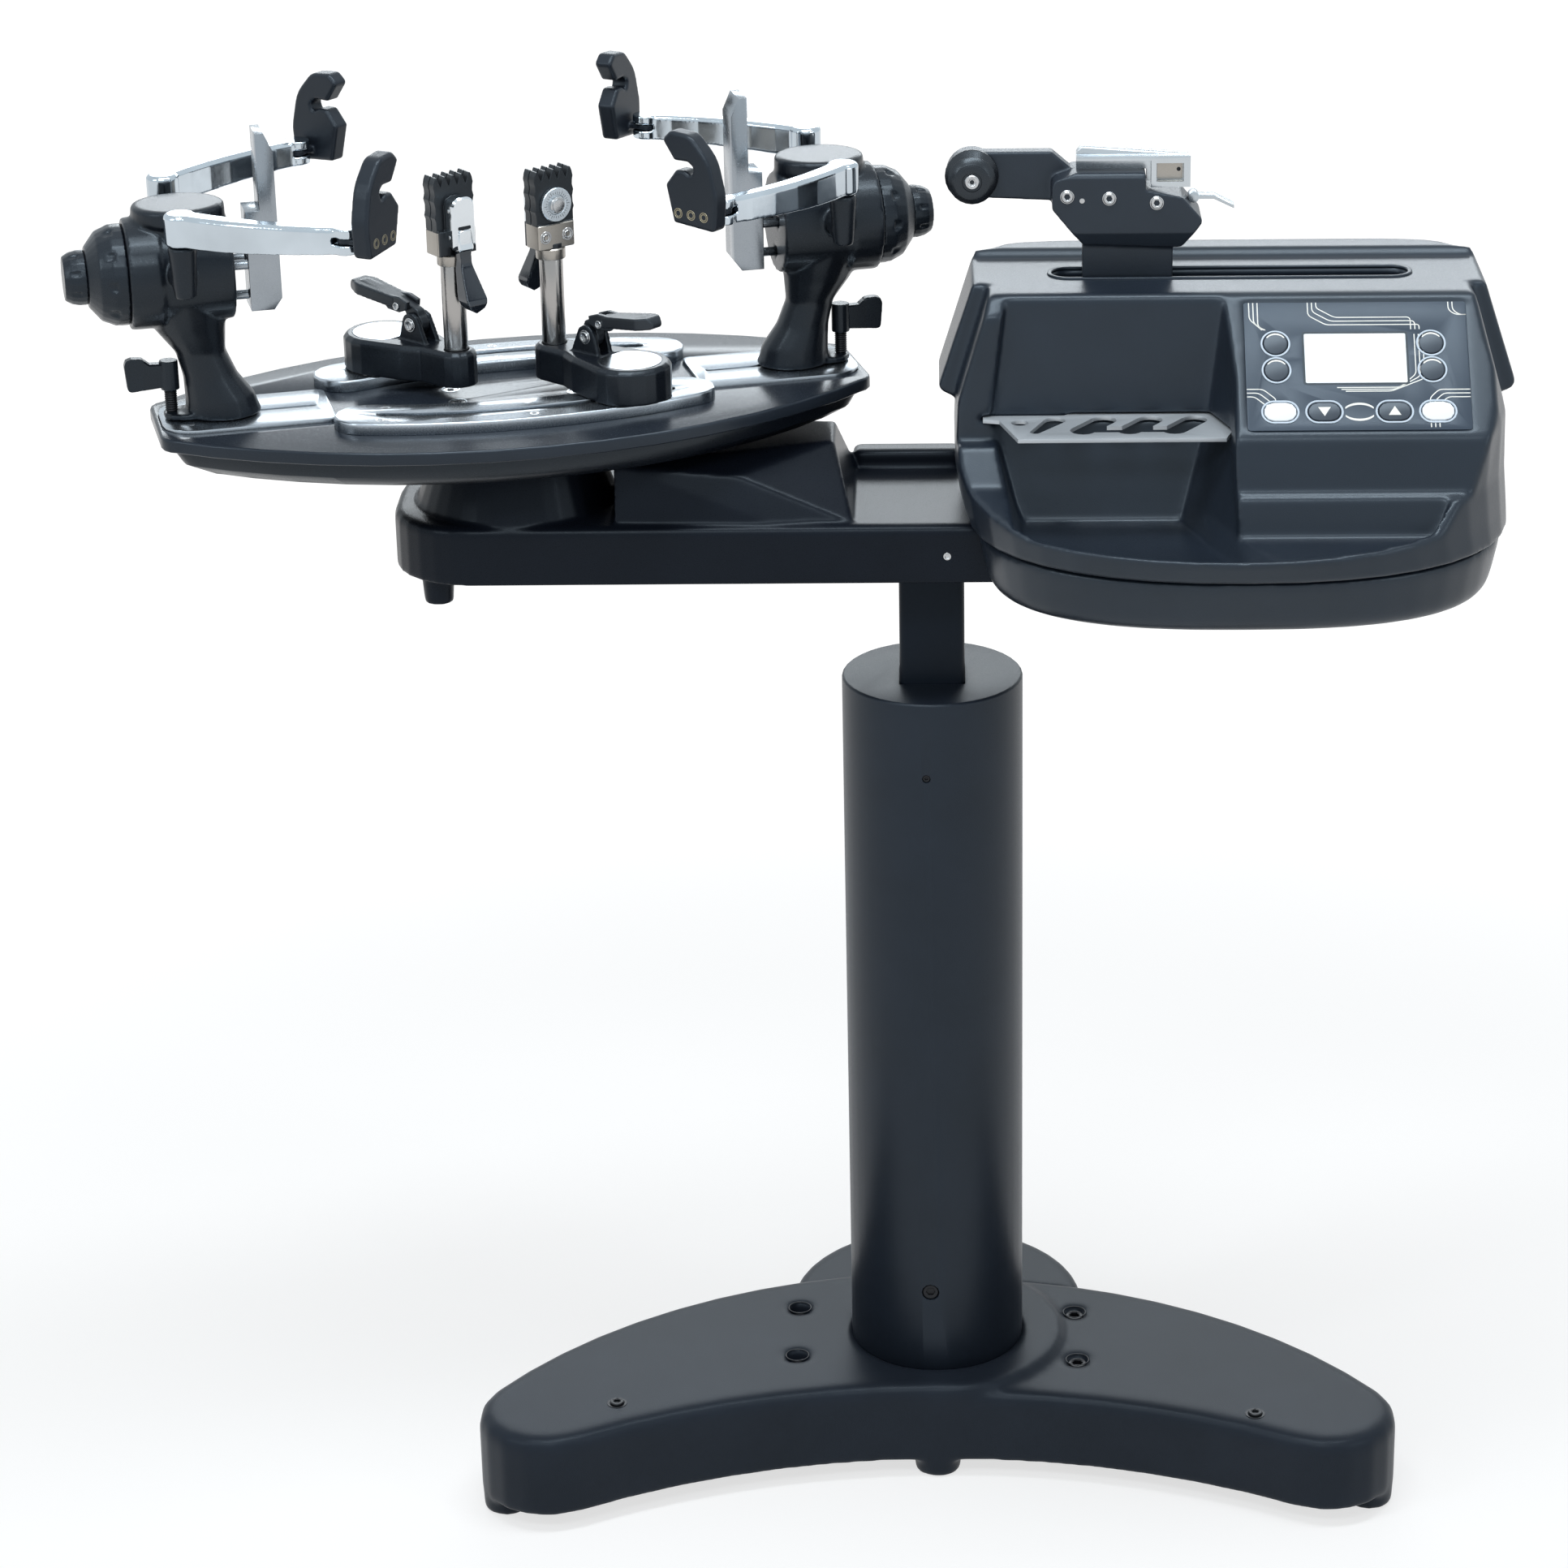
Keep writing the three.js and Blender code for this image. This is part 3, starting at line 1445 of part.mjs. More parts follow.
function buildClamp(side, pieces) {
  const name = side < 0 ? 'left_clamp' : 'right_clamp';
  const group = new THREE.Group();
  const headGroup = new THREE.Group();
  headGroup.rotation.z = radians(head.turnFromBase);
  headGroup.add(
    piece(`${name}_jaw_head`, jawHead(), looks.castBlack),
    piece(`${name}_jaw_handle`, jawHandle(), looks.plain),
  );
  group.add(
    piece(`${name}_base`, clampBase(), looks.castBlack),
    piece(`${name}_base_lever`, clampBaseLever(), looks.plain),
    piece(`${name}_post`, clampPost(), looks.nickel),
    headGroup,
  );
  const turn = radians(clamp.leftTurn) + (side < 0 ? 0 : Math.PI);
  const seatX = side < 0 ? clamp.leftSeatX : clamp.rightSeatX;
  const seatY = -side * (Math.sqrt(clampRail.radius ** 2 - seatX ** 2) + clampRail.reach - clampRail.radius);
  group.position.set(
    seatX - clamp.swing * Math.cos(turn),
    seatY - clamp.swing * Math.sin(turn),
    table.top + clampRail.thickness,
  );
  group.rotation.z = turn;
  pieces.add(group);
}

// Console of the tension head.

// Rounded front, straight sides and a bowed back; the power sets how square the front is.
function consoleRing(half, reach, power, lean = 0) {
  const centre = consoleBody.centreX + lean;
  const front = [];
  for (let i = 0; i <= 20; i += 1) {
    const angle = Math.PI * (i / 20);
    const shareX = Math.sign(Math.cos(angle)) * Math.abs(Math.cos(angle)) ** (2 / power);
    const shareY = Math.sin(angle) ** (2 / power);
    front.push([centre - half * shareX, consoleBody.frontY - reach * shareY]);
  }
  const back = rounded([
    [centre + half, consoleBody.frontY / 2, 1],
    [centre + half, consoleBody.back - consoleBody.backCorner, consoleBody.backCorner],
    [centre, consoleBody.back + consoleBody.backCorner / 4, 400],
    [centre - half, consoleBody.back - consoleBody.backCorner, consoleBody.backCorner],
    [centre - half, consoleBody.frontY / 2, 1],
  ], 3);
  return [...front, ...back.slice(1, -1)];
}

// Room for the arm's end and for the rib along its back.
function armWay() {
  const top = arm.bottom + arm.height + slip;
  const reach = [-arm.left, arm.right + slip];
  const main = block(reach, [-arm.half - slip, arm.half + slip], [arm.bottom - overrun, top]);
  const ribSide = [arm.half - arm.ribWidth - slip, arm.half + slip];
  const rib = block([-arm.ribStart, arm.ribEnd + slip], ribSide, [arm.bottom, top + arm.ribHeight]);
  return join(main, rib);
}

function consoleLower() {
  const b = consoleBody;
  const body = lofted([
    [b.bottom, consoleRing(b.bottomHalf - b.bottomFillet, b.bottomReach - b.bottomFillet, b.bottomPower, b.lowerLean)],
    [b.bottom + b.bottomFillet, consoleRing(b.bottomHalf, b.bottomReach, b.bottomPower, b.lowerLean)],
    [b.seam, consoleRing(b.seamHalf - b.seamStep, b.seamReach - b.seamStep, b.seamPower, b.lowerLean)],
  ]);
  const face = inlet.panelY - inlet.depth;
  const inletPanel = block(
    [inlet.panelLeft, inlet.panelRight],
    [inlet.panelY, b.back + overrun * 2],
    [inlet.z - inlet.panelHalf, inlet.z + inlet.panelHalf],
  );
  const socket = block(
    [inlet.x - inlet.width / 2, inlet.x + inlet.width / 2],
    [face, b.back + overrun * 2],
    [inlet.z - inlet.height / 2, inlet.z + inlet.height / 2],
  );
  const switchWay = block(
    [inlet.switchX - inlet.switchWidth / 2 - slip, inlet.switchX + inlet.switchWidth / 2 + slip],
    [inlet.panelY - inlet.switchDepth, b.back + overrun * 2],
    [inlet.z - inlet.switchHeight / 2 - slip, inlet.z + inlet.switchHeight / 2 + slip],
  );
  const blades = [-1, 0, 1].map((side) => {
    const x = inlet.x + side * inlet.pinSpread;
    const z = inlet.z + (side ? -1 : 1) * inlet.pinTall / 2;
    return block([x - inlet.pinHalf, x + inlet.pinHalf], [face - 1, face + inlet.pinLength], [z - inlet.pinTall / 2, z + inlet.pinTall / 2]);
  });
  const axle = rodX(1.5, inlet.switchX - inlet.switchWidth / 2 - 1, inlet.switchX + inlet.switchWidth / 2 + 1, 12);
  const open = cut(body, armWay(), inletPanel, socket, switchWay);
  return join(open, ...blades, axle.translate(0, inlet.panelY - inlet.switchDepth / 2, inlet.z));
}

function consoleProfile() {
  const b = consoleBody;
  const footY = b.creaseY - b.slopeRun;
  const footZ = b.deck - b.slopeRun * Math.tan(radians(b.slope));
  const rimY = b.frontY - b.rimReach;
  return rounded([
    [b.back + overrun * 4, b.seam - overrun, 0], [rimY - overrun * 2, b.seam - overrun, 0],
    [rimY - overrun * 2, b.padFrontZ - overrun / 2, 0], [rimY + 8, b.padFrontZ, 3],
    [footY - b.rampRun, b.rampZ, 6], [footY - b.ledgeRun, b.padStepZ, 3], [footY - b.blockLean, b.padStepZ + 2, 2], [footY, footZ, 5], [b.creaseY, b.deck, 7],
    [b.crownFront, b.deck, 2], [b.crownFront + 6, b.crown, 2], [b.crownBack, b.crown - 1, 8],
    [b.back + 4, b.waist, 0], [b.back + overrun * 4, b.waist, 0],
  ], 2);
}

function consoleWings() {
  const b = consoleBody;
  const x = (half) => [b.centreX - half, b.centreX + half];
  const [topLeft, topRight] = x(b.hoodHalf);
  const [tipLeft, tipRight] = x(b.tipHalf);
  const [underLeft, underRight] = x(b.shoulderHalf);
  return sidePrism([
    [topLeft, b.crown], [tipLeft, b.hoodTip], [tipLeft + 3, b.hoodTip - b.wingDrop / 2],
    [underLeft, b.hoodTip - b.wingDrop], [underRight, b.hoodTip - b.wingDrop],
    [tipRight - 3, b.hoodTip - b.wingDrop / 2], [tipRight, b.hoodTip], [topRight, b.crown],
  ], b.wingFront, b.back - b.backCorner / 3);
}

function panelGroup() {
  const group = new THREE.Group();
  const down = radians(consoleBody.slope);
  group.position.set(
    panel.left,
    consoleBody.creaseY - panel.drop * Math.cos(down),
    consoleBody.deck - panel.drop * Math.sin(down),
  );
  group.rotation.x = down;
  group.updateMatrixWorld(true);
  return group;
}

function onSlope(geometry) {
  return geometry.applyMatrix4(panelGroup().matrixWorld);
}

function keyPlaces() {
  const rounds = [key.leftX, key.rightX].flatMap((x) => [key.upperY, key.lowerY].map((y) => [x, -y, 'round']));
  const ovals = key.ovalX.map((x) => [x, -key.rowY, 'oval']);
  return [...rounds, ...ovals];
}

function keyOutline(kind, grow) {
  if (kind === 'round') return arc(0, 0, key.roundRadius + grow, 0, 360, 18).slice(0, -1);
  return slotOutline(0, 0, key.ovalHalfX + grow, key.ovalHalfY + grow, 5);
}

// The room inside the front wall of the upper shell.
function insideWall() {
  const b = consoleBody;
  const wall = tray.wall;
  return lofted([
    [b.seam - overrun, consoleRing(b.seamHalf - wall, b.seamReach - wall, b.seamPower, b.lowerLean)],
    [b.rim, consoleRing(b.rimHalf - wall, b.rimReach - wall, b.rimPower, b.lowerLean / 2)],
    [b.waist, consoleRing(b.waistHalf - wall, b.rimReach - wall, b.rimPower)],
    [b.deck + overrun, consoleRing(b.waistHalf - wall, b.rimReach - wall, b.rimPower)],
  ]);
}

function trayWell() {
  const far = consoleBody.frontY - consoleBody.rimReach;
  const ring = (level) => [level.z, [
    [level.left, level.back], [level.left, far], [level.farX, far], [level.kneeX, trayFoot.back - trayRun.knee],
    [level.shoulderX, trayFoot.back - trayRun.shoulder], [level.right, level.back],
  ]];
  return common(lofted([trayFoot, trayLip, trayRack, trayDeck].map(ring)), insideWall());
}

// Everything above the rim in front of the tray's back face.
function trayOpening() {
  const b = consoleBody;
  const far = b.frontY - b.rimReach - overrun;
  const side = crossPrism([
    [far, tray.rimTop], [tray.faceY - tray.frontRun, tray.rimTop + 1], [tray.faceY - tray.sideRun, tray.sideMiddle],
    [tray.faceY - tray.sideRun / 3, tray.sideTop], [tray.faceY, tray.sideTop],
    [tray.faceY, b.deck + overrun], [far, b.deck + overrun],
  ], -overrun, tray.sideEnd);
  const front = block([-overrun, tray.padLeft], [far, tray.faceY - tray.frontRun], [tray.rimTop, b.deck]);
  return join(side, front);
}

// The small-parts tray: a terrace with sloping back and side.
function padWell() {
  const far = consoleBody.frontY - consoleBody.rimReach;
  const ring = (z, back, right) => [z, [
    [tray.padLeft, back], [tray.padLeft, far], [right, far], [right, back - tray.padCorner],
    [right - tray.padCorner, back],
  ]];
  const well = lofted([
    ring(tray.padFloor, tray.padFloorBack, tray.padFloorRight),
    ring(consoleBody.padStepZ, tray.padBack, tray.padRight),
    ring(consoleBody.deck, tray.padBack, tray.padRight),
  ]);
  return common(well, insideWall());
}

function rackOutline(grow) {
  return [
    [rack.left - grow, rack.back - rack.stepDepth + grow], [rack.left - grow, rack.tabY],
    [rack.left + rack.tabWidth * 2, rack.tabY - rack.tabWidth / 2], [rack.frontLeft, rack.front - grow],
    [rack.frontRight, rack.front - grow], [rack.right + grow, rack.cornerY],
    [rack.backRight + grow, rack.back + grow], [rack.stepX, rack.back + grow],
    [rack.stepX - rack.stepDepth, rack.back - rack.stepDepth + grow],
  ];
}

function toolRack() {
  const low = rack.z - overrun;
  const high = rack.z + rack.thickness + overrun;
  const hole = (x, y, radius) => rod(radius, low, high, 16).translate(x, y, 0);
  const slotted = (x0, y0, r0, x1, y1, r1) => {
    const run = new THREE.Vector2(x1 - x0, y1 - y0);
    const side = new THREE.Vector2(-run.y, run.x).normalize();
    const web = prism([
      [x0 + side.x * r0, y0 + side.y * r0], [x0 - side.x * r0, y0 - side.y * r0],
      [x1 - side.x * r1, y1 - side.y * r1], [x1 + side.x * r1, y1 + side.y * r1],
    ], low, high);
    return [hole(x0, y0, r0), web, hole(x1, y1, r1)];
  };
  const lowY = rack.lobeY - rack.lobeRunY;
  const lobes = rack.lobeX.flatMap((x) => {
    return slotted(x, rack.lobeY, rack.lobeRadius, x - rack.lobeRunX, lowY, rack.lobeRadius);
  });
  const first = rack.lobeX[0] - rack.lobeRunX;
  const last = rack.lobeX[rack.lobeX.length - 1] - rack.lobeRunX;
  const bay = block([first, last], [lowY - rack.lobeRadius / 2, lowY + rack.lobeRadius], [low, high]);
  return cut(
    prism(rackOutline(0), rack.z, rack.z + rack.thickness),
    hole(rack.awlX, rack.awlY, rack.awlRadius),
    ...slotted(rack.keyX, rack.keyY, rack.keyRadius, rack.keyTailX, rack.keyTailY, rack.keyTailRadius),
    ...lobes,
    bay,
  );
}

function consoleUpper() {
  const b = consoleBody;
  const front = lofted([
    [b.seam, consoleRing(b.seamHalf, b.seamReach, b.seamPower, b.lowerLean)],
    [b.rim, consoleRing(b.rimHalf, b.rimReach, b.rimPower, b.lowerLean / 2)],
    [b.waist, consoleRing(b.waistHalf, b.rimReach, b.rimPower)],
    [b.hoodTip, consoleRing(b.shoulderHalf, b.rimReach, 2.4)],
    [b.crown + overrun, consoleRing(b.deckHalf, b.rimReach, 3)],
  ]);
  const hoodPlan = prism([
    [b.centreX - b.tipHalf - 1, b.frontY], [b.centreX + b.tipHalf + 1, b.frontY],
    ...arc(b.centreX, b.crownBack + 4 - b.hoodArc, b.hoodArc, 66, 114, 8),
  ], b.seam, b.crown + overrun);
  const profile = crossPrism(consoleProfile(), b.centreX - b.tipHalf - overrun, b.centreX + b.tipHalf + overrun);
  const shell = common(join(front, common(consoleWings(), hoodPlan)), profile);
  const cavity = block(
    [b.centreX - b.cavityHalfX, b.centreX + b.cavityHalfX],
    [b.cavityFront, b.cavityBack],
    [b.seam - overrun, b.deck - b.deckThickness],
  );
  const slotMiddle = (slot.left + slot.right) / 2;
  const slotHalf = (slot.right - slot.left) / 2;
  const deckSlot = prism(slotOutline(slotMiddle, slot.y, slotHalf, slot.half, 6), b.deck - overrun * 2, b.crown + overrun);
  const panelBed = onSlope(prism(
    rectangle([-slip, panel.width + slip], [-panel.height - slip, slip], panel.corner, 3),
    -panel.thickness - seatGap,
    overrun,
  ));
  const keyWells = keyPlaces().map(([x, y, kind]) => {
    const depth = panel.thickness + key.below + key.travelRoom;
    const well = prism(keyOutline(kind, key.flange + slip), -depth, overrun);
    return onSlope(well.translate(x, y, 0));
  });
  const railWay = rodX(rail.radius + slip, b.centreX - b.cavityHalfX - rail.seat, b.centreX + b.cavityHalfX + rail.seat, 20);
  const rackWay = prism(rackOutline(rack.groove), rack.z - slip, rack.z + rack.thickness + slip);
  return cut(
    shell,
    armWay(),
    cavity,
    deckSlot,
    panelBed,
    ...keyWells,
    railWay.translate(0, slot.y, rail.z),
    trayWell(),
    trayOpening(),
    padWell(),
    rackWay,
  );
}

function panelPlate() {
  const outline = rectangle([0, panel.width], [-panel.height, 0], panel.corner, 3);
  const plate = prism(outline, -panel.thickness, 0);
  const holes = keyPlaces().map(([x, y, kind]) => {
    return prism(keyOutline(kind, slip), -panel.thickness - overrun, overrun).translate(x, y, 0);
  });
  const [left, top] = [panel.displayLeft, -panel.displayTop];
  const window = block([left, left + panel.displayWidth], [top - panel.displayHeight, top], [-panel.displayDepth, overrun]);
  return cut(plate, ...holes, window);
}

function keyCap(kind) {
  const cap = slab(keyOutline(kind, 0), -panel.thickness - key.below + 1, key.proud, 0.5, 1);
  const low = -panel.thickness - key.below;
  const flange = prism(keyOutline(kind, key.flange), low, low + key.flangeThickness);
  return join(cap, flange);
}

function powerRocker() {
  const halfX = inlet.switchWidth / 2 - slip;
  const halfZ = inlet.switchHeight / 2 - inlet.rockerTip;
  const deep = -inlet.switchDepth / 2 + 2.5;
  const shape = [
    [deep, -halfZ * 0.6], [inlet.switchDepth / 2 + inlet.rockerTilt, -halfZ], [inlet.switchDepth / 2 - 1, 0],
    [inlet.switchDepth / 2 - inlet.rockerTilt, halfZ], [deep, halfZ * 0.6],
  ];
  const body = crossPrism(shape, -halfX, halfX);
  return cut(body, rodX(1.5 + slip, -overrun, overrun, 12));
}

// Gripper carriage.

function gripperBody() {
  const g = gripper;
  const rim = sidePrism(rounded([
    [g.neckLeft, g.bodyBottom, 2], [g.tailX, g.bodyBottom - 3, 6], [g.bodyRight, g.tailZ, 4], [g.tailX, g.tailTopZ, 6],
    [g.shelfX, g.shelfZ, 2], [g.shelfX, g.topZ, 2], [g.neckLeft - 6, g.topZ, 3], [g.bodyLeft, g.topZ - 6, 5],
    [g.bodyLeft, g.chamferTopZ, 3],
  ], 2), -g.bodyHalf, g.bodyHalf);
  const soften = rounded([
    [-g.bodyHalf, g.bodyBottom + 10, 2], [-g.bodyHalf + 9, g.bodyBottom - 6, 3], [g.bodyHalf - 9, g.bodyBottom - 6, 3],
    [g.bodyHalf, g.bodyBottom + 10, 2], [g.bodyHalf, g.topZ - 3, 2], [g.bodyHalf - 4, g.topZ + 1.5, 1],
    [-g.bodyHalf + 4, g.topZ + 1.5, 1], [-g.bodyHalf, g.topZ - 3, 2],
  ], 2);
  const body = common(rim, crossPrism(soften, g.bodyLeft - overrun, g.bodyRight + overrun));
  const neck = block([g.neckLeft, g.neckRight], [-g.neckHalf, g.neckHalf], [g.carriageBottom, g.bodyBottom + 4]);
  const carriage = block(
    [g.neckLeft, g.neckRight],
    [-g.carriageHalf, g.carriageHalf],
    [g.carriageBottom, g.carriageTop],
  );
  const noseTop = g.noseZ + g.noseArmHalf;
  const noseLow = g.noseZ - g.noseArmHalf;
  const noseArm = sidePrism(rounded([
    [g.noseX, noseLow, 0], [g.bodyLeft + 4, g.chamferTopZ + 2, 0], [g.bodyLeft + 14, g.chamferTopZ + 6, 0],
    [g.bodyLeft + 14, g.topZ, 0], [g.bodyLeft, noseTop, 0], [g.noseX, noseTop, 0],
  ], 2), g.noseArmFront, g.noseArmBack);
  const eye = rodY(g.noseEyeRadius, g.noseArmFront, g.noseArmBack, 24).translate(g.noseX, 0, g.noseZ);
  const axle = rodY(roller.pinRadius, -roller.length, g.noseArmFront + 1, 14).translate(g.noseX, 0, g.noseZ);
  const railWay = rodX(rail.radius + slip, g.neckLeft - overrun, g.neckRight + overrun, 20).translate(0, 0, rail.z);
  const joined = cut(join(body, neck, carriage, noseArm, eye, axle), railWay);
  return joined.translate(0, slot.y, 0);
}

function noseRoller() {
  const front = gripper.noseArmFront - slip - roller.length;
  const back = gripper.noseArmFront - slip;
  const profile = [
    [roller.pinRadius + slip, front], [roller.faceRadius, front], [roller.radius - 2, front + 4],
    [roller.waist, front + 9], [roller.waist, front + 12], [roller.radius, back - 3], [roller.radius, back],
    [roller.pinRadius + slip, back], [roller.pinRadius + slip, front],
  ];
  const body = turned(profile, 24).rotateX(-Math.PI / 2);
  return body.translate(gripper.noseX, slot.y, gripper.noseZ);
}

function jawPlate(side) {
  const near = jaw.gap / 2;
  const far = near + jaw.thickness;
  const band = side > 0 ? [near, far] : [-far, -near];
  const plate = sidePrism(rounded([
    [jaw.left, jaw.bottom, 0], [gripper.shelfX + 1, jaw.bottom, 0], [gripper.shelfX + 1, jaw.bottom - jaw.drop, 0],
    [jaw.right, jaw.bottom - jaw.drop, 0],
    [jaw.right, jaw.top - 6, 3], [jaw.left + 4, jaw.top, 2], [jaw.left, jaw.top - 4, 2],
  ], 2), band[0], band[1]);
  return plate;
}

function fixedJaw() {
  return jawPlate(1).translate(0, slot.y + jaw.y, 0);
}

function movingJaw() {
  const g = gripper;
  const far = jaw.gap / 2 + jaw.thickness;
  const lip = block([jaw.left, jaw.right], [-far - jaw.guard, -far + 1], [jaw.top - 8, jaw.top - 8 + jaw.guardThickness]);
  const cheek = block([g.shelfX + 4, jaw.right], [-far - jaw.guard, -far + 1], [g.shelfZ + 1, jaw.top - 6]);
  const window = block(
    [g.shelfX + 8, jaw.right - 5],
    [-far - jaw.guard - overrun, -far - 1],
    [g.shelfZ + 5, jaw.top - 10],
  );
  return cut(join(jawPlate(-1), lip, cheek), window).translate(0, slot.y + jaw.y, 0);
}

function gripperLever() {
  const eye = rodY(gripLever.eyeRadius, -gripLever.half, gripLever.half, 16);
  const tongue = sidePrism([
    [0, -gripLever.thick / 2], [gripLever.length * 0.5, -gripLever.thick / 2], [gripLever.length, -gripLever.thick * 3.5],
    [gripLever.length, -gripLever.thick * 2.5], [gripLever.length * 0.5, gripLever.thick / 2], [0, gripLever.thick / 2],
  ], -gripLever.half, gripLever.half);
  return join(eye, tongue).translate(gripLever.pivotX, slot.y, gripLever.pivotZ);
}

function buildStand() {
  return [
    piece('base_crescent', baseCrescent(), looks.powder),
    piece('base_rear_lobe', baseLobe(), looks.powder),
    piece('column_tube', columnTube(), looks.powder),
  ];
}

function buildTable() {
  const group = new THREE.Group();
  group.position.x = table.x;
  group.rotation.z = radians(table.turn);
  group.add(
    piece('table_dish', tableDish(), looks.castBlack),
    piece('table_plate', tablePlate(), looks.plate),
    piece('end_rail_left', endRailPlate(-1), looks.satin),
    piece('end_rail_right', endRailPlate(1), looks.satin),
    piece('clamp_rail_front', clampRailPlate(-1), looks.satin),
    piece('clamp_rail_rear', clampRailPlate(1), looks.satin),
  );
  [-1, 1].forEach((side) => {
    buildTower(side, group);
    buildClamp(side, group);
  });
  return group;
}

function buildPanel() {
  const group = panelGroup();
  group.add(piece('panel_plate', panelPlate(), looks.overlay));
  const names = [
    'key_left_upper', 'key_left_lower', 'key_right_upper', 'key_right_lower',
    'key_bottom_left', 'key_down', 'key_up', 'key_bottom_right',
  ];
  const light = ['key_bottom_left', 'key_bottom_right'];
  keyPlaces().forEach(([x, y, kind], i) => {
    const cap = piece(names[i], keyCap(kind), light.includes(names[i]) ? looks.keyLight : looks.keyGrey);
    cap.position.set(x, y, 0);
    group.add(cap);
  });
  return group;
}

function buildHead() {
  const b = consoleBody;
  const rocker = piece('power_switch', powerRocker(), looks.plain);
  rocker.position.set(inlet.switchX, inlet.panelY - inlet.switchDepth / 2, inlet.z);
  const railHalf = b.cavityHalfX + rail.seat - slip;
  const bar = rodX(rail.radius, b.centreX - railHalf, b.centreX + railHalf, 20);
  return [
    piece('mast_bar', mastBar(), looks.powder),
    piece('arm_housing', armHousing(), looks.powder),
    piece('console_lower', consoleLower(), looks.moulding),
    piece('console_upper', consoleUpper(), looks.moulding),
    buildPanel(),
    piece('tool_rack', toolRack(), looks.satin),
    rocker,
    piece('carriage_rail', bar.translate(0, slot.y, rail.z), looks.satin),
    piece('gripper_body', gripperBody(), looks.castBlack),
    piece('nose_roller', noseRoller(), looks.plain),
    piece('gripper_jaw_fixed', fixedJaw(), looks.satin),
    piece('gripper_jaw_moving', movingJaw(), looks.polished),
    piece('gripper_lever', gripperLever(), looks.satin),
  ];
}

const machine = new THREE.Group();
machine.position.set(middle.x, -middle.y, 0);
machine.add(...buildStand(), ...buildHead(), buildTable());

const group = new THREE.Group();
group.add(machine);
group.updateMatrixWorld(true);

export default group;
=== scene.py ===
"""Looks of an upright racket stringing machine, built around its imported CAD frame."""
import json
import math

import bpy
from mathutils import Matrix, Vector


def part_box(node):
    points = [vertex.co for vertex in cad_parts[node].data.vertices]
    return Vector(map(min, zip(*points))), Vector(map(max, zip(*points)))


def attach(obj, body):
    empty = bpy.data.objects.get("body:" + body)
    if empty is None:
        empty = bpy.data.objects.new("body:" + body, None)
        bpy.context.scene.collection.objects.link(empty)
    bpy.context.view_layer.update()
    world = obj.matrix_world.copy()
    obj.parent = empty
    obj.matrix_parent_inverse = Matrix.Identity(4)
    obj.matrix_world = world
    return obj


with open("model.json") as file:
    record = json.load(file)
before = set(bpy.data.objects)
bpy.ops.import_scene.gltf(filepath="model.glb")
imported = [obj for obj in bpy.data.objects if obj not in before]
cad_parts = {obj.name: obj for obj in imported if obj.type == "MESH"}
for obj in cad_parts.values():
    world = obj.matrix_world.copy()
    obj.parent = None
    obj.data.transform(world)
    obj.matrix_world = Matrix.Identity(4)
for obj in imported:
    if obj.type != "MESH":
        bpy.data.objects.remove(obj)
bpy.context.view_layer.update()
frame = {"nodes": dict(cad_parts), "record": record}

MM = 0.001
SIDES = {"left": -1, "right": 1}


# Places, worked out from the frame. Local sizes below are in millimetres.


def middle(node):
    low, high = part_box(node)
    return (Vector(low) + Vector(high)) / 2


def turned(axis, degrees):
    return Matrix.Rotation(math.radians(degrees), 4, axis)


def at(x, y, z):
    return Matrix.Translation(Vector((x, y, z)) * MM)


COLUMN = Vector((middle("column_tube").x, middle("column_tube").y, 0))
STAND = Matrix.Translation(COLUMN)
TABLE_TURN = 15.5
TABLE_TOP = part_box("table_plate")[1][2]
TABLE_MIDDLE = middle("table_plate")
TABLE = Matrix.Translation((TABLE_MIDDLE.x, TABLE_MIDDLE.y, TABLE_TOP)) @ turned("Z", TABLE_TURN)
TOWER_REACH = 217
END_RAIL_TOP = 2.5
CLAMP_RAIL_TOP = 9
CLAMP_TURN = {"left": 125.5, "right": 305.5}
HEAD_TURN = 77
DECK_Z = 979
CREASE_Y = -56
PANEL_SLOPE = 44
PANEL_LEFT = 230
PANEL_DROP = 8


def facing_front(x, y, z):
    """A place at the column whose own Z axis points to the user."""
    return STAND @ at(x, y, z) @ turned("X", 90)


def tower_place(side):
    flip = 0 if side == "left" else 180
    return TABLE @ at(SIDES[side] * TOWER_REACH, 0, END_RAIL_TOP) @ turned("Z", flip)


def clamp_place(side):
    post = middle(side + "_clamp_post")
    foot = Matrix.Translation((post.x, post.y, TABLE_TOP + CLAMP_RAIL_TOP * MM))
    return foot @ turned("Z", TABLE_TURN + CLAMP_TURN[side])


def panel_place():
    """The panel's upper left corner: X to the right, Y up the slope, Z out of it."""
    slope = math.radians(PANEL_SLOPE)
    y = CREASE_Y - PANEL_DROP * math.cos(slope)
    z = DECK_Z - PANEL_DROP * math.sin(slope)
    return STAND @ at(PANEL_LEFT, y, z) @ turned("X", PANEL_SLOPE)


# Materials.

NOISE_LOW, NOISE_HIGH = 0.3, 0.7
PATCH_SCALE, PATCH_DETAIL = 18, 3
GRAIN_DETAIL = 2
GLOSS_SPREAD = 0.15
COAT_ROUGHNESS = 0.12
COOL = (0.78, 0.9, 1.0)
MIX_FACTOR, MIX_FIRST, MIX_SECOND, MIX_RESULT = 0, 6, 7, 2


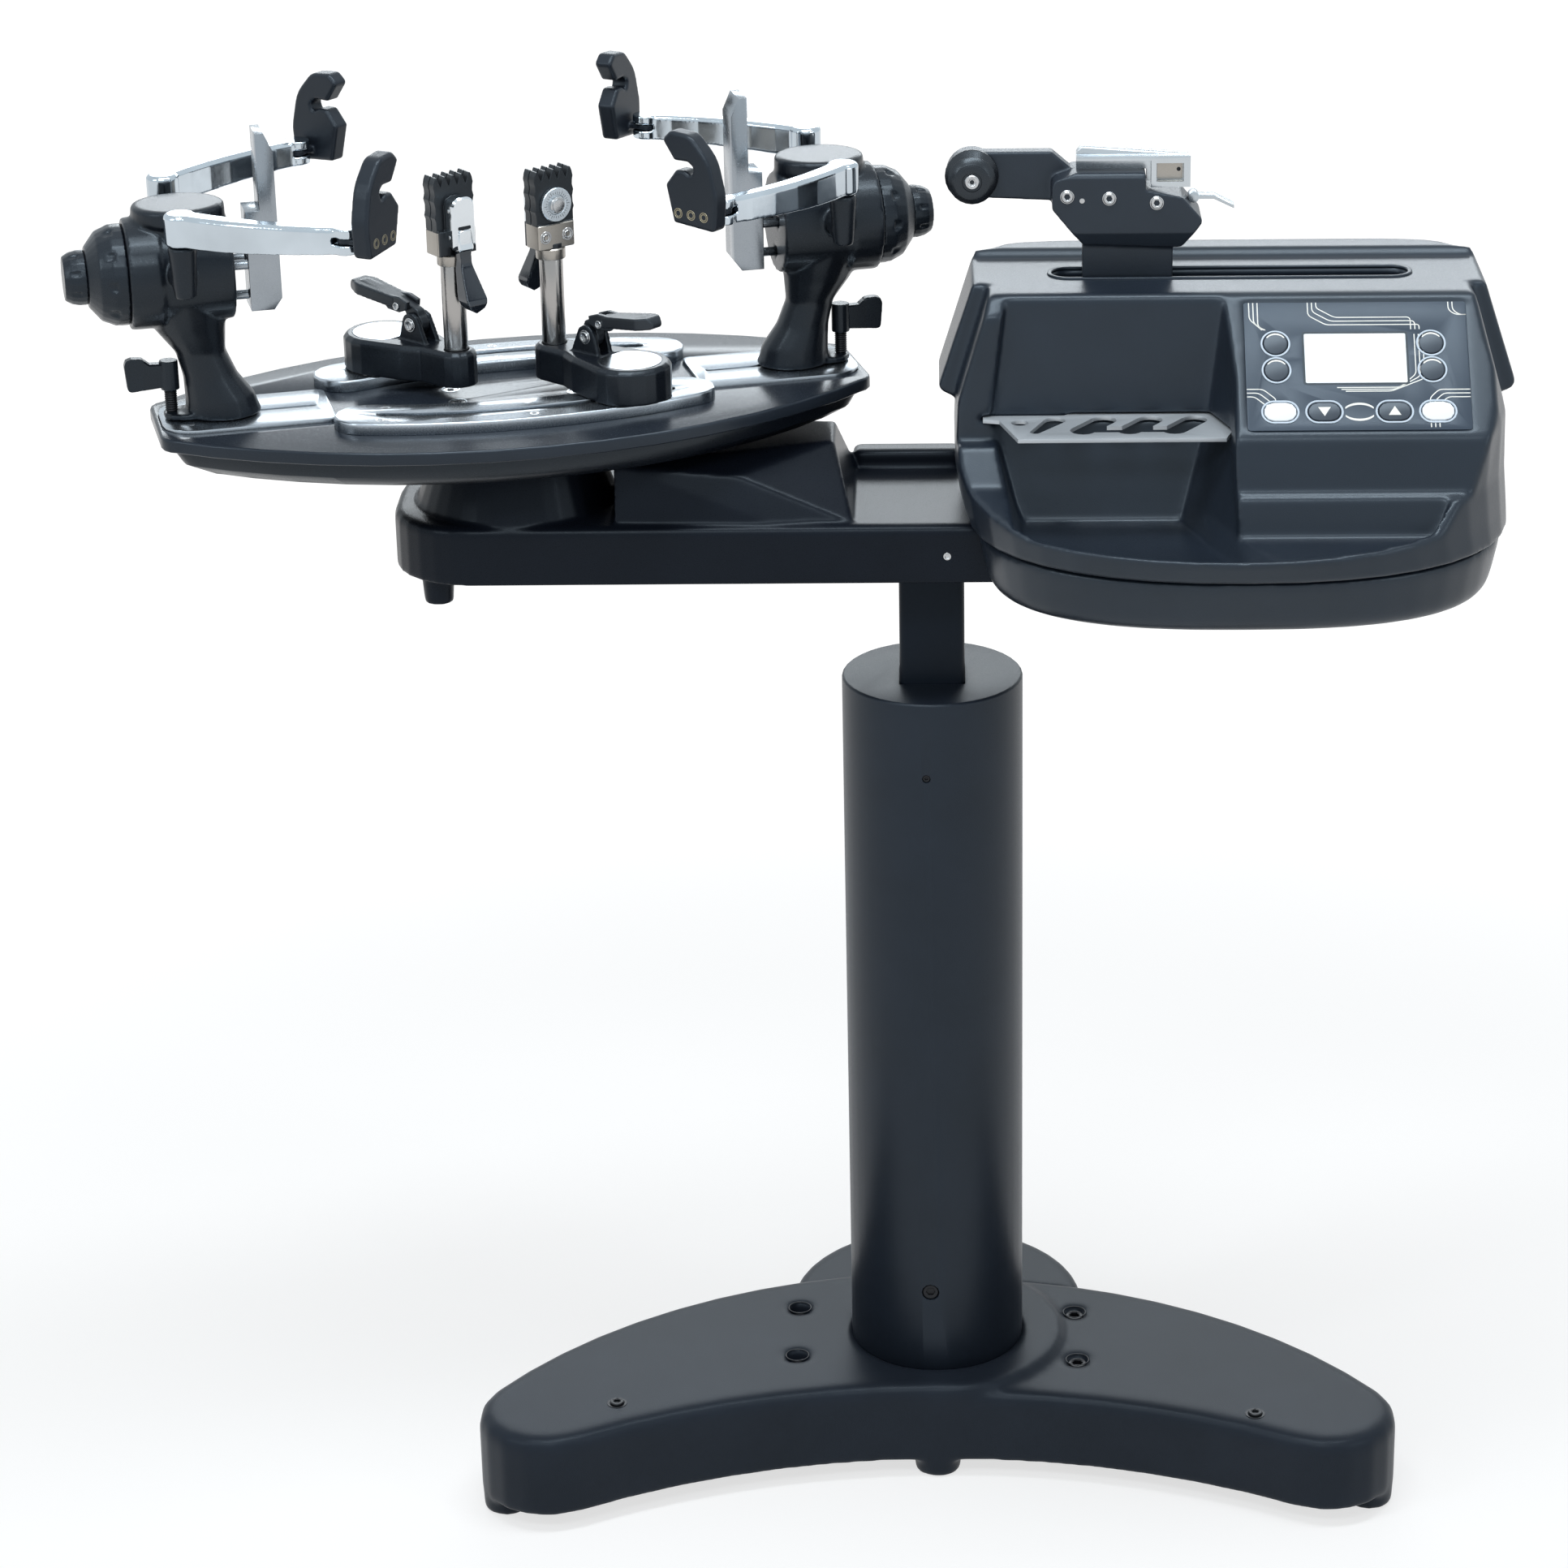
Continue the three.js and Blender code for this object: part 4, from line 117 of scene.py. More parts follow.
class Nodes:
    """A short way to wire a material's nodes."""

    def __init__(self, name):
        self.material = bpy.data.materials.new(name)
        self.material.use_nodes = True
        self.tree = self.material.node_tree
        self.shader = self.tree.nodes["Principled BSDF"]
        self.place = self.new("ShaderNodeTexCoord").outputs["Object"]

    def new(self, kind, **values):
        node = self.tree.nodes.new(kind)
        for key, value in values.items():
            setattr(node, key, value)
        return node

    def link(self, source, target):
        self.tree.links.new(source, target)

    def noise(self, scale, detail, stretch=None):
        node = self.new("ShaderNodeTexNoise")
        node.inputs["Scale"].default_value = scale
        node.inputs["Detail"].default_value = detail
        where = self.place
        if stretch:
            mapping = self.new("ShaderNodeMapping")
            mapping.inputs["Scale"].default_value = stretch
            self.link(where, mapping.inputs["Vector"])
            where = mapping.outputs["Vector"]
        self.link(where, node.inputs["Vector"])
        return node.outputs["Fac"]

    def spread(self, fac, low, high):
        node = self.new("ShaderNodeMapRange")
        node.inputs["From Min"].default_value = NOISE_LOW
        node.inputs["From Max"].default_value = NOISE_HIGH
        node.inputs["To Min"].default_value = low
        node.inputs["To Max"].default_value = high
        self.link(fac, node.inputs["Value"])
        return node.outputs["Result"]

    def tint(self, fac, dark, light):
        node = self.new("ShaderNodeMix", data_type="RGBA")
        node.inputs[MIX_FIRST].default_value = (*dark, 1)
        node.inputs[MIX_SECOND].default_value = (*light, 1)
        self.link(self.spread(fac, 0, 1), node.inputs[MIX_FACTOR])
        self.link(node.outputs[MIX_RESULT], self.shader.inputs["Base Color"])

    def bump(self, fac, depth):
        node = self.new("ShaderNodeBump")
        node.inputs["Distance"].default_value = depth
        node.inputs["Strength"].default_value = 1.0
        self.link(fac, node.inputs["Height"])
        self.link(node.outputs["Normal"], self.shader.inputs["Normal"])


def finish_of(name, colour, rough, metal, grain, mottle=0.12, coat=0.0, stretch=None, level=0.5):
    """A surface with a fine grain, slight patches of shade and uneven gloss."""
    nodes = Nodes(name)
    shader = nodes.shader
    shader.inputs["Metallic"].default_value = metal
    shader.inputs["Specular IOR Level"].default_value = level
    if not metal:
        shader.inputs["Specular Tint"].default_value = (*COOL, 1)
    if coat:
        shader.inputs["Coat Weight"].default_value = coat
        shader.inputs["Coat Roughness"].default_value = COAT_ROUGHNESS
    dark = [channel * (1 - mottle) for channel in colour]
    light = [min(1, channel * (1 + mottle)) for channel in colour]
    nodes.tint(nodes.noise(PATCH_SCALE, PATCH_DETAIL), dark, light)
    scale, depth = grain
    fine = nodes.noise(scale, GRAIN_DETAIL, stretch)
    gloss = nodes.spread(fine, rough * (1 - GLOSS_SPREAD), rough * (1 + GLOSS_SPREAD))
    nodes.link(gloss, shader.inputs["Roughness"])
    nodes.bump(fine, depth)
    return nodes.material


PLAIN = (900, 0.00002)
BRUSHED = (1, 18, 18)
# Name: colour, roughness, metallic, (scale, depth) of the grain, and further values.
FINISHES = {
    # Slots of the CAD nodes.
    "base_powder": ((0.014, 0.018, 0.026), 0.36, 0, (1500, 0.00008), {"level": 0.17}),
    "column_powder": ((0.011, 0.015, 0.023), 0.4, 0, (1700, 0.00006), {"level": 0.32}),
    "mast": ((0.005, 0.008, 0.014), 0.36, 0, PLAIN, {"level": 0.16}),
    "arm_satin": ((0.006, 0.008, 0.013), 0.3, 0, (1500, 0.00004), {"level": 0.14}),
    "console_moulding": ((0.011, 0.016, 0.025), 0.33, 0, (1300, 0.00006), {"level": 0.46}),
    "panel_overlay": ((0.026, 0.037, 0.056), 0.42, 0, (2600, 0.00003), {}),
    "key_dark": ((0.03, 0.037, 0.05), 0.35, 0, (2600, 0.00001), {}),
    "key_light": ((0.86, 0.89, 0.92), 0.35, 0, (2600, 0.00001), {"mottle": 0.03}),
    "rack_steel": ((0.5, 0.53, 0.56), 0.4, 0.45, (420, 0.00001),
                   {"mottle": 0.06, "stretch": BRUSHED}),
    "switch_black": ((0.01, 0.01, 0.011), 0.2, 0, PLAIN, {}),
    "rod_chrome": ((0.62, 0.63, 0.64), 0.12, 1, PLAIN, {"mottle": 0.03}),
    "gripper_black": ((0.018, 0.023, 0.032), 0.36, 0, (1600, 0.00005), {"level": 0.42}),
    "roller_black": ((0.01, 0.011, 0.014), 0.3, 0, (1600, 0.00002), {}),
    "jaw_aluminium": ((0.5, 0.54, 0.57), 0.24, 1, (500, 0.00001),
                      {"mottle": 0.06, "stretch": BRUSHED}),
    "lever_steel": ((0.44, 0.48, 0.51), 0.28, 1, (700, 0.00001), {"mottle": 0.06}),
    "cast_black": ((0.006, 0.008, 0.012), 0.31, 0, (1100, 0.00003), {"level": 0.38}),
    "table_plate": ((0.018, 0.023, 0.032), 0.24, 0, (1500, 0.00002),
                    {"mottle": 0.08, "level": 0.3}),
    "rail_silver": ((0.42, 0.46, 0.5), 0.25, 1, (520, 0.00001),
                    {"mottle": 0.07, "stretch": BRUSHED}),
    "knob_black": ((0.009, 0.012, 0.017), 0.3, 0, (1400, 0.00005), {"level": 0.35}),
    "arm_polished": ((0.5, 0.56, 0.61), 0.13, 1, (160, 0.00002), {"mottle": 0.1}),
    "pad_black": ((0.01, 0.013, 0.019), 0.36, 0, (1500, 0.00006), {"level": 0.35}),
    "post_satin": ((0.3, 0.33, 0.36), 0.24, 1, (600, 0.00001), {"mottle": 0.06}),
    "clamp_lever": ((0.014, 0.016, 0.02), 0.36, 0, (1500, 0.00005), {}),
    "post_nickel": ((0.34, 0.33, 0.32), 0.2, 1, PLAIN, {"mottle": 0.06}),
    "jaw_black": ((0.009, 0.01, 0.012), 0.34, 0, (1500, 0.00006), {}),
    "handle_black": ((0.009, 0.012, 0.018), 0.14, 0, PLAIN, {"coat": 0.5}),
    # Finishes of the scene's own pieces.
    "screw_steel": ((0.45, 0.46, 0.47), 0.24, 1, PLAIN, {"mottle": 0.08}),
    "screw_brass": ((0.3, 0.27, 0.19), 0.32, 1, PLAIN, {"mottle": 0.1}),
    "screw_black": ((0.014, 0.015, 0.018), 0.34, 0.6, PLAIN, {}),
    "chrome": ((0.62, 0.66, 0.69), 0.12, 1, PLAIN, {"mottle": 0.04}),
    "nickel": ((0.36, 0.34, 0.31), 0.32, 1, (1200, 0.00003), {"mottle": 0.08}),
    "dial_face": ((0.55, 0.61, 0.66), 0.3, 1, (800, 0.00001), {"mottle": 0.04}),
    "ink_dark": ((0.02, 0.025, 0.03), 0.5, 0, PLAIN, {}),
    # Pale print, and also the painted highlights on the keys.
    "pale_ink_and_highlight": ((0.86, 0.84, 0.78), 0.5, 0, PLAIN, {"mottle": 0.03}),
    "rim_pale": ((0.55, 0.62, 0.7), 0.35, 0, PLAIN, {"mottle": 0.04}),
    "glass_white": ((0.95, 0.97, 0.99), 0.12, 0, PLAIN, {"mottle": 0.01}),
    # A near-black finish painted as shade in a rail's slot and in the latch's window.
    "painted_shade_dark": ((0.004, 0.004, 0.005), 0.6, 0, PLAIN, {}),
}
MATERIALS = {name: finish_of(name, *values, **more) for name, (*values, more) in FINISHES.items()}


# Shapes: a shape is a list of points and a list of faces, in millimetres.

CIRCLE_END = 352
SHARPEST = 0.3


class Shape:
    def __init__(self, points=(), faces=()):
        self.points = [Vector(p) for p in points]
        self.faces = [tuple(f) for f in faces]

    def __add__(self, other):
        shift = len(self.points)
        faces = self.faces + [tuple(i + shift for i in face) for face in other.faces]
        return Shape(self.points + other.points, faces)

    def spun(self, degrees):
        """The shape turned about its own Z axis."""
        turn = turned("Z", degrees)
        return Shape([turn @ p for p in self.points], self.faces)


def skin(rings, count, closed=False):
    """Faces over rings of count points: capped at both ends, or closed back to the first ring."""
    faces = []
    for k in range(rings if closed else rings - 1):
        a, b = k * count, (k + 1) % rings * count
        for i in range(count):
            j = (i + 1) % count
            faces.append((a + i, a + j, b + j, b + i))
    if not closed:
        faces.append(tuple(reversed(range(count))))
        faces.append(tuple(range((rings - 1) * count, rings * count)))
    return faces


def lathe(rings, sides=32):
    """Turns (radius, z) rings from the lower middle over the outside to the upper middle.
    A ring (radius, z, True) follows a hexagon instead of a circle."""
    sixth = math.pi / 3
    points = []
    for radius, z, *hexagon in rings:
        for i in range(sides):
            angle = 2 * math.pi * i / sides
            reach = radius
            if hexagon:
                reach = radius / math.cos((angle % sixth) - sixth / 2) * math.cos(sixth / 2)
            points.append((reach * math.cos(angle), reach * math.sin(angle), z))
    return Shape(points, skin(len(rings), sides))


def inset(outline, amount):
    """The outline (counter-clockwise) pulled in by amount."""
    count = len(outline)
    result = []
    for i in range(count):
        before = Vector(outline[i - 1])
        here = Vector(outline[i])
        after = Vector(outline[(i + 1) % count])
        first = (here - before).normalized()
        second = (after - here).normalized()
        normal = Vector((-first.y - second.y, first.x + second.x))
        half = normal.length / 2
        result.append(here + normal.normalized() * (amount / max(half, SHARPEST)))
    return [tuple(p) for p in result]


def prism(outline, low, high, edge=0.0):
    """A plate with a small chamfer round both faces."""
    layers = [(outline, low), (outline, high)]
    if edge:
        small = inset(outline, edge)
        layers = [(small, low), (outline, low + edge), (outline, high - edge), (small, high)]
    points = [(x, y, z) for ring, z in layers for x, y in ring]
    return Shape(points, skin(len(layers), len(outline)))


def arc(cx, cy, radius, start, end, steps):
    step = (end - start) / steps
    angles = [math.radians(start + step * i) for i in range(steps + 1)]
    return [(cx + radius * math.cos(a), cy + radius * math.sin(a)) for a in angles]


def circle(radius, steps):
    """A circle's outline; the way from its last point back to the first is a shorter step."""
    return arc(0, 0, radius, 0, CIRCLE_END, steps)


def capsule(left, right, half, steps=10):
    """A slot's outline along X, with round ends."""
    return (arc(right - half, 0, half, -90, 90, steps)
            + arc(left + half, 0, half, 90, 270, steps))


def rounded_box(x0, x1, y0, y1, radius, steps=5):
    corners = [(x1 - radius, y1 - radius, 0), (x0 + radius, y1 - radius, 90),
               (x0 + radius, y0 + radius, 180), (x1 - radius, y0 + radius, 270)]
    return [p for x, y, a in corners for p in arc(x, y, radius, a, a + 90, steps)]


def band(outer, inner, low, high, edge=0.2):
    """A flat ring between two outlines of the same count."""
    rings = [(inner, low), (outer, low), (outer, high - edge), (inset(outer, edge), high),
             (inset(inner, -edge), high), (inner, high - edge)]
    points = [(x, y, z) for ring, z in rings for x, y in ring]
    return Shape(points, skin(len(rings), len(outer), closed=True))


def piece(name, body, shape, material, place, smooth=32):
    """Makes one visible object from a shape and lets it ride on a CAD body."""
    mesh = bpy.data.meshes.new(name)
    scaled = place @ Matrix.Scale(MM, 4)
    mesh.from_pydata([scaled @ p for p in shape.points], [], shape.faces)
    mesh.update()
    mesh.validate()
    mesh.polygons.foreach_set("use_smooth", [True] * len(mesh.polygons))
    mesh.set_sharp_from_angle(angle=math.radians(smooth))
    mesh.materials.append(MATERIALS[material])
    item = bpy.data.objects.new(name, mesh)
    bpy.context.scene.collection.objects.link(item)
    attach(item, body)


# Fasteners.

SCREW_SIDES = 30
WASHER_STEPS = 31
CHAMFER_SHARE = 0.12


def socket_screw(radius, height, hollow=0.55, depth=0.6):
    """A socket-head screw that stands on z = 0. Its hexagon takes the share hollow of the
    radius and the share depth of the height."""
    chamfer = radius * CHAMFER_SHARE
    socket = radius * hollow
    floor = height * (1 - depth)
    return lathe([
        (radius, 0), (radius, height - chamfer), (radius - chamfer, height),
        (socket * 1.12, height), (socket, height - chamfer * 0.6, True), (socket, floor, True),
        (socket * 0.5, floor - 0.2),
    ], SCREW_SIDES)


def sunk_screw(radius, depth):
    """A countersunk screw, flush at z = 0."""
    return lathe([
        (radius * 0.6, -depth - 0.6), (radius, -0.25), (radius * 0.97, 0), (radius * 0.6, 0),
        (radius * 0.5, -0.15, True), (radius * 0.48, -depth, True), (radius * 0.2, -depth - 0.2),
    ], SCREW_SIDES)


def washer(radius, bore, height):
    edge = min(0.2, height / 2)
    return band(circle(radius, WASHER_STEPS), circle(bore, WASHER_STEPS), 0, height, edge)


# CAD nodes: finishes, and soft edges by modifiers.

# Grain of the voxel mesh in millimetres, rounds of smoothing, and share of faces kept.
CAST = {
    "base_crescent": (2.2, 34, 0.35),
    "base_rear_lobe": (2.2, 26, 0.35),
    "arm_housing": (1.8, 7, 0.35),
    "console_lower": (2.2, 75, 0.35),
    "console_upper": (1.7, 27, 0.4),
    "gripper_body": (1.1, 4, 0.6),
}
for side in SIDES:
    CAST[f"{side}_tower_casting"] = (1.3, 20, 0.6)
    for where in ("front", "rear"):
        CAST[f"{side}_tower_arm_{where}"] = (0.8, 7, 0.6)
        CAST[f"{side}_tower_pad_{where}"] = (0.8, 6, 0.6)
    CAST[f"{side}_tower_arm_knob"] = (1.0, 4, 0.6)
    CAST[f"{side}_tower_post_knob"] = (0.7, 4, 0.6)
    CAST[f"{side}_tower_lock_lever"] = (0.6, 6, 0.7)
    CAST[f"{side}_clamp_base"] = (0.9, 3, 0.6)
    CAST[f"{side}_clamp_base_lever"] = (0.7, 8, 0.7)
    CAST[f"{side}_clamp_jaw_head"] = (0.45, 3, 0.6)
    CAST[f"{side}_clamp_jaw_handle"] = (0.5, 8, 0.7)
# Widths of the bevels on the crisp nodes.
CRISP_EDGE = 0.6
CRISP_EDGES = {
    "tool_rack": 0.35, "gripper_jaw_fixed": 0.4, "gripper_jaw_moving": 0.4,
    "panel_plate": 0.25, "gripper_lever": 0.4, "table_plate": 0.9,
}
SMOOTH_ANGLE = math.radians(32)
WELD_DISTANCE = 1e-6


def soften(node, item):
    item.data.polygons.foreach_set("use_smooth", [True] * len(item.data.polygons))
    weld = item.modifiers.new("weld", "WELD")
    weld.merge_threshold = WELD_DISTANCE
    if node in CAST:
        grain, rounds, kept = CAST[node]
        remesh = item.modifiers.new("cast", "REMESH")
        remesh.mode = "VOXEL"
        remesh.voxel_size = grain * MM
        remesh.use_smooth_shade = True
        calm = item.modifiers.new("calm", "SMOOTH")
        calm.factor = 0.5
        calm.iterations = rounds
        fewer = item.modifiers.new("fewer", "DECIMATE")
        fewer.ratio = kept
        return
    bevel = item.modifiers.new("edge", "BEVEL")
    bevel.width = CRISP_EDGES.get(node, CRISP_EDGE) * MM
    bevel.segments = 2
    bevel.limit_method = "ANGLE"
    bevel.angle_limit = SMOOTH_ANGLE
    split = item.modifiers.new("split", "EDGE_SPLIT")
    split.split_angle = SMOOTH_ANGLE


def dress_frame():
    slots = {part["node"]: part["material_slot"] for part in frame["record"]["subparts"]}
    for node, item in frame["nodes"].items():
        item.data.materials.clear()
        item.data.materials.append(MATERIALS[slots[node]])
        if "custom_normal" in item.data.attributes:
            item.data.attributes.remove(item.data.attributes["custom_normal"])
        soften(node, item)


# Stand.

BOLT_SPOTS = [(-114, 30), (-114, -48), (114, 30), (114, -48)]
BOLT_REST = 70
BASE_TOP = {"left": 84, "right": 78}
FOOT_SCREWS = {"left": (-256, -122), "right": (253, -135)}
COLUMN_SCREW_X, COLUMN_FRONT = -5, -65.4
# Height and radius.
COLUMN_SCREWS = {"upper": (600, 2.9), "lower": (153, 6.6)}


def dress_stand():
    for i, (x, y) in enumerate(BOLT_SPOTS):
        bolt = socket_screw(7.6, 5.4, 0.58, 0.7)
        piece(f"base_bolt_{i}", "stand", bolt, "screw_black", STAND @ at(x, y, BOLT_REST))
        top = BASE_TOP["left" if x < 0 else "right"]
        rim = washer(9.6, 8.8, 0.5)
        piece(f"base_bolt_rim_{i}", "stand", rim, "screw_black", STAND @ at(x, y, top - 0.1))
    for name, (x, y) in FOOT_SCREWS.items():
        shape = socket_screw(5.6, 2.4, 0.5, 0.6) + washer(8, 5.8, 0.6)
        place = STAND @ at(x, y, BASE_TOP[name] - 0.2)
        piece(f"foot_screw_{name}", "stand", shape, "screw_black", place)
    for name, (z, radius) in COLUMN_SCREWS.items():
        shape = socket_screw(radius, 3, 0.55, 0.8)
        place = facing_front(COLUMN_SCREW_X, COLUMN_FRONT, z)
        piece(f"column_screw_{name}", "stand", shape, "screw_black", place)


# Cross arm and table.

PLATE_SCREWS = [(-45, -16), (-45, 16), (45, -16), (45, 16)]
CLAMP_RAIL_RADIUS, CLAMP_RAIL_REACH = 376, 73.5
CLAMP_RAIL_ANGLES = (-16.6, 0, 16.6)
CLAMP_RAIL_ROWS = {"in": -14.5, "out": 14.5}
END_RAIL_SCREWS = [(158, 21), (158, -21), (243, 21), (243, -21)]
SCREW_PROUD = 0.12
ARM_SCREW = (12, -77.4, 784)


def dress_arm():
    place = facing_front(*ARM_SCREW)
    piece("arm_side_screw", "head", socket_screw(3.2, 2, 0.5, 0.6), "screw_steel", place)


def dress_clamp_rail(name, flip):
    """The screws of a curved rail, in two rows on either side of its slot."""
    for k, degrees in enumerate(CLAMP_RAIL_ANGLES):
        angle = math.radians(90 + degrees)
        for row, offset in CLAMP_RAIL_ROWS.items():
            radius = CLAMP_RAIL_RADIUS + offset
            x = radius * math.cos(angle)
            y = flip * (CLAMP_RAIL_REACH - CLAMP_RAIL_RADIUS + radius * math.sin(angle))
            piece(f"clamp_rail_{name}_screw_{k}_{row}", "table", sunk_screw(3.4, 1.4),
                  "screw_steel", TABLE @ at(x, y, CLAMP_RAIL_TOP + SCREW_PROUD))


def dress_end_rail(name, sign):
    """A near-black sheet painted as shade on the floor of a straight rail's slot, and its corner
    screws.
    """
    way = [(sign * x, sign * y) for x, y in capsule(148.3, 257.7, 2.4)]
    # The sheet is painted shade: the slot's floor as it looks in shadow.
    piece(f"end_rail_{name}_way_shade", "table", prism(way, 0.02, 0.5), "painted_shade_dark", TABLE)
    for k, (x, y) in enumerate(END_RAIL_SCREWS):
        piece(f"end_rail_{name}_screw_{k}", "table", sunk_screw(2.8, 1.2), "screw_steel",
              TABLE @ at(sign * x, y, END_RAIL_TOP + SCREW_PROUD))


def dress_table():
    for i, (x, y) in enumerate(PLATE_SCREWS):
        screw, rim = sunk_screw(5.8, 2), washer(7.2, 5.9, 0.25)
        piece(f"plate_screw_{i}", "table", screw, "screw_steel", TABLE @ at(x, y, -0.2))
        piece(f"plate_screw_rim_{i}", "table", rim, "rail_silver", TABLE @ at(x, y, -0.02))
    dress_clamp_rail("rear", 1)
    dress_clamp_rail("front", -1)
    for name, sign in SIDES.items():
        dress_end_rail(name, sign)


# Towers.

# The pad's middle line, seen from above, and the distances of its bolts along it.
PAD_OUTER = Vector((88, 152))
PAD_INNER = Vector((116, 118))
PAD_HALF = 7
PAD_BOLTS = (9.5, 21, 32.5)
PAD_BOLT_Z = 160.5
LOCK_X = -38
LOCK_HALF = 4.15
LOCK_WEB = [(-20, 23), (0, 24.5), (0, 42), (-14, 42.5), (-17, 45), (-20, 46.5)]
THREAD_START, THREAD_END, THREAD_PITCH, THREAD_TURNS = 5.4, 20.8, 1.7, 9
THREAD_ROOT, THREAD_CREST = 4.1, 4.75


def pad_screws(side, where):
    """Three sunk bolts low on the pad's face, away from its arm."""
    local = tower_place(side)
    sign = 1 if (side == "left") == (where == "rear") else -1
    along = (PAD_INNER - PAD_OUTER).normalized()
    out = Vector((-along.y, along.x))
    heading = math.degrees(math.atan2(out.y * sign, out.x))
    for k, distance in enumerate(PAD_BOLTS):
        spot = PAD_OUTER + along * distance + out * (PAD_HALF - 1.2)
        facing = turned("Z", heading) @ turned("Y", 90)
        shape = socket_screw(2.9, 1.25, 0.6, 0.7) + washer(3.9, 3.0, 1.3)
        piece(f"{side}_{where}_pad_bolt_{k}", f"{side}_tower_pad_{where}", shape, "screw_brass",
              local @ at(spot.x, spot.y * sign, PAD_BOLT_Z) @ facing)


def dress_lock_lever(side):
    """The broad web between the lever's hub and its thumb pad, and the threads of its stud."""
    body = side + "_tower_lock"
    place = tower_place(side) @ at(LOCK_X, 0, 0)
    web = prism(LOCK_WEB, -LOCK_HALF, LOCK_HALF, 1.1)
    piece(side + "_lever_web", body, web, "cast_black", place @ turned("X", 90))
    rings = []
    for i in range(THREAD_TURNS):
        z = THREAD_START + i * THREAD_PITCH
        rings += [(THREAD_ROOT, z), (THREAD_CREST, z + THREAD_PITCH / 2)]
    thread = lathe([*rings, (THREAD_ROOT, THREAD_END)], 24)
    piece(side + "_lever_thread", body, thread, "screw_black", place, smooth=20)


def dress_tower(side):
    dress_lock_lever(side)
    for where in ("front", "rear"):
        pad_screws(side, where)


# Clamps.

HEAD_Z = 101
DIAL_Z = HEAD_Z + 34
JAW_FRONT = 8
JAW_HALF = 16.15
JAW_TOP = 60.2
# The jaw's right side: how far it bulges, and the height.
SCALLOPS = [
    (0, 20), (0, 27), (1.0, 30), (0.1, 33.5), (0, 38), (1.1, 42.5), (0.1, 46.5), (0.3, 50),
    (1.0, 53), (0.2, 57),
]
# The teeth's places from right to left, and one tooth's tip as (aside, below the top).
TEETH = (2, 1, 0, -1, -2)
TOOTH_PITCH, TOOTH_DEPTH = 7.2, 7.6
TOOTH_TIP = [(1.0, 0.9), (0.5, 0), (-0.5, 0), (-1.0, 0.9)]
BLOCK_LOW, BLOCK_HIGH = HEAD_Z + 0.6, HEAD_Z + 19.4
BLOCK_SCREW_X = {"a": -9.6, "b": 9.6}
RIVET_X, RIVET_Y, RIVET_HEIGHTS = 9.6, 14, (16, 36)
FORK_Y, FORK_Z, FORK_LEAN = 15, HEAD_Z + 15, 8
INLAY_X, INLAY_RADIUS, INLAY_END, BASE_HEIGHT = 77, 23.6, 148, 27
PIVOT_X, PIVOT_Z = 40, 40
LUG_HALF, CHEEK_HALF = 8.4, 3.4
LUG_SCREW = 4.2
# Side plate of the base lever, above the lugs, as (x, z) round the pivot.
CHEEK = [(4, 10.6), (12, 7.4), (24, 8.4), (30, 14), (26, 19), (12, 19.5), (3, 16.5)]


def dial_marks():
    marks = Shape()
    for i in range(30):
        length = 2.6 if i % 5 == 0 else 1.5
        line = [(8.4, -0.16), (8.4 + length, -0.16), (8.4 + length, 0.16), (8.4, 0.16)]
        marks = marks + prism(line, 0, 0.12).spun(i * 12)
    return marks


def dial_knurl():
    ticks = Shape()
    for i in range(36):
        flute = prism([(12.8, -0.35), (13.15, 0), (12.8, 0.35)], -2.2, -0.4)
        ticks = ticks + flute.spun(i * 10)
    return ticks


def dress_dial(side, head):
    body = side + "_clamp_head"
    face = head @ at(0, -JAW_FRONT - 3, DIAL_Z) @ turned("X", 90)
    ring = lathe([
        (12.6, -2.6), (12.9, -2.2), (12.9, 0), (12.4, 0.5), (7.8, 0.5), (7.2, 0.1), (5.4, 0.1),
    ], 48)
    hub = lathe([
        (6.2, 0), (6.2, 1.6), (5.4, 2.2), (4.9, 2.2), (4.7, 2.8), (3.6, 3.0), (0.4, 3.0),
    ], 40)
    piece(side + "_dial_ring", body, ring, "dial_face", face, smooth=25)
    piece(side + "_dial_marks", body, dial_marks(), "ink_dark", face @ at(0, 0, 0.46))
    piece(side + "_dial_hub", body, hub, "screw_steel", face)
    piece(side + "_dial_knurl", body, dial_knurl(), "screw_steel", face)


def dress_block(side, head):
    """The nickel block that carries the jaws, with its two socket screws."""
    body = side + "_clamp_head"
    block = prism(rounded_box(-16, 16, -9.6, 8.2, 1.6), BLOCK_LOW, BLOCK_HIGH, 0.7)
    piece(side + "_head_block", body, block, "nickel", head)
    for name, x in BLOCK_SCREW_X.items():
        place = head @ at(x, -9.5, HEAD_Z + 10) @ turned("X", 90)
        shape = washer(4.9, 3.4, 0.35) + socket_screw(3.1, 0.9, 0.6, 1.1)
        piece(f"{side}_head_screw_{name}", body, shape, "screw_steel", place)
    neck = lathe([(11, 0), (11.2, 0.6), (11.2, 7.6), (10.4, 8.4), (9.6, 8.4)], 40)
    piece(side + "_head_neck", body, neck, "nickel", head @ at(0, 0, HEAD_Z - 8.1))


def comb_outline():
    """One jaw seen from the front: scalloped sides and five pointed teeth, as (x, z)."""
    right = [(JAW_HALF + out, z) for out, z in SCALLOPS]
    teeth = []
    for i in TEETH:
        x = i * TOOTH_PITCH
        if i < TEETH[0]:
            teeth.append((x + TOOTH_PITCH / 2, JAW_TOP - TOOTH_DEPTH))
        teeth += [(x + aside, JAW_TOP - below) for aside, below in TOOTH_TIP]
    left = [(-x, z) for x, z in reversed(right)]
    return [(x, z + HEAD_Z) for x, z in right + teeth + left]


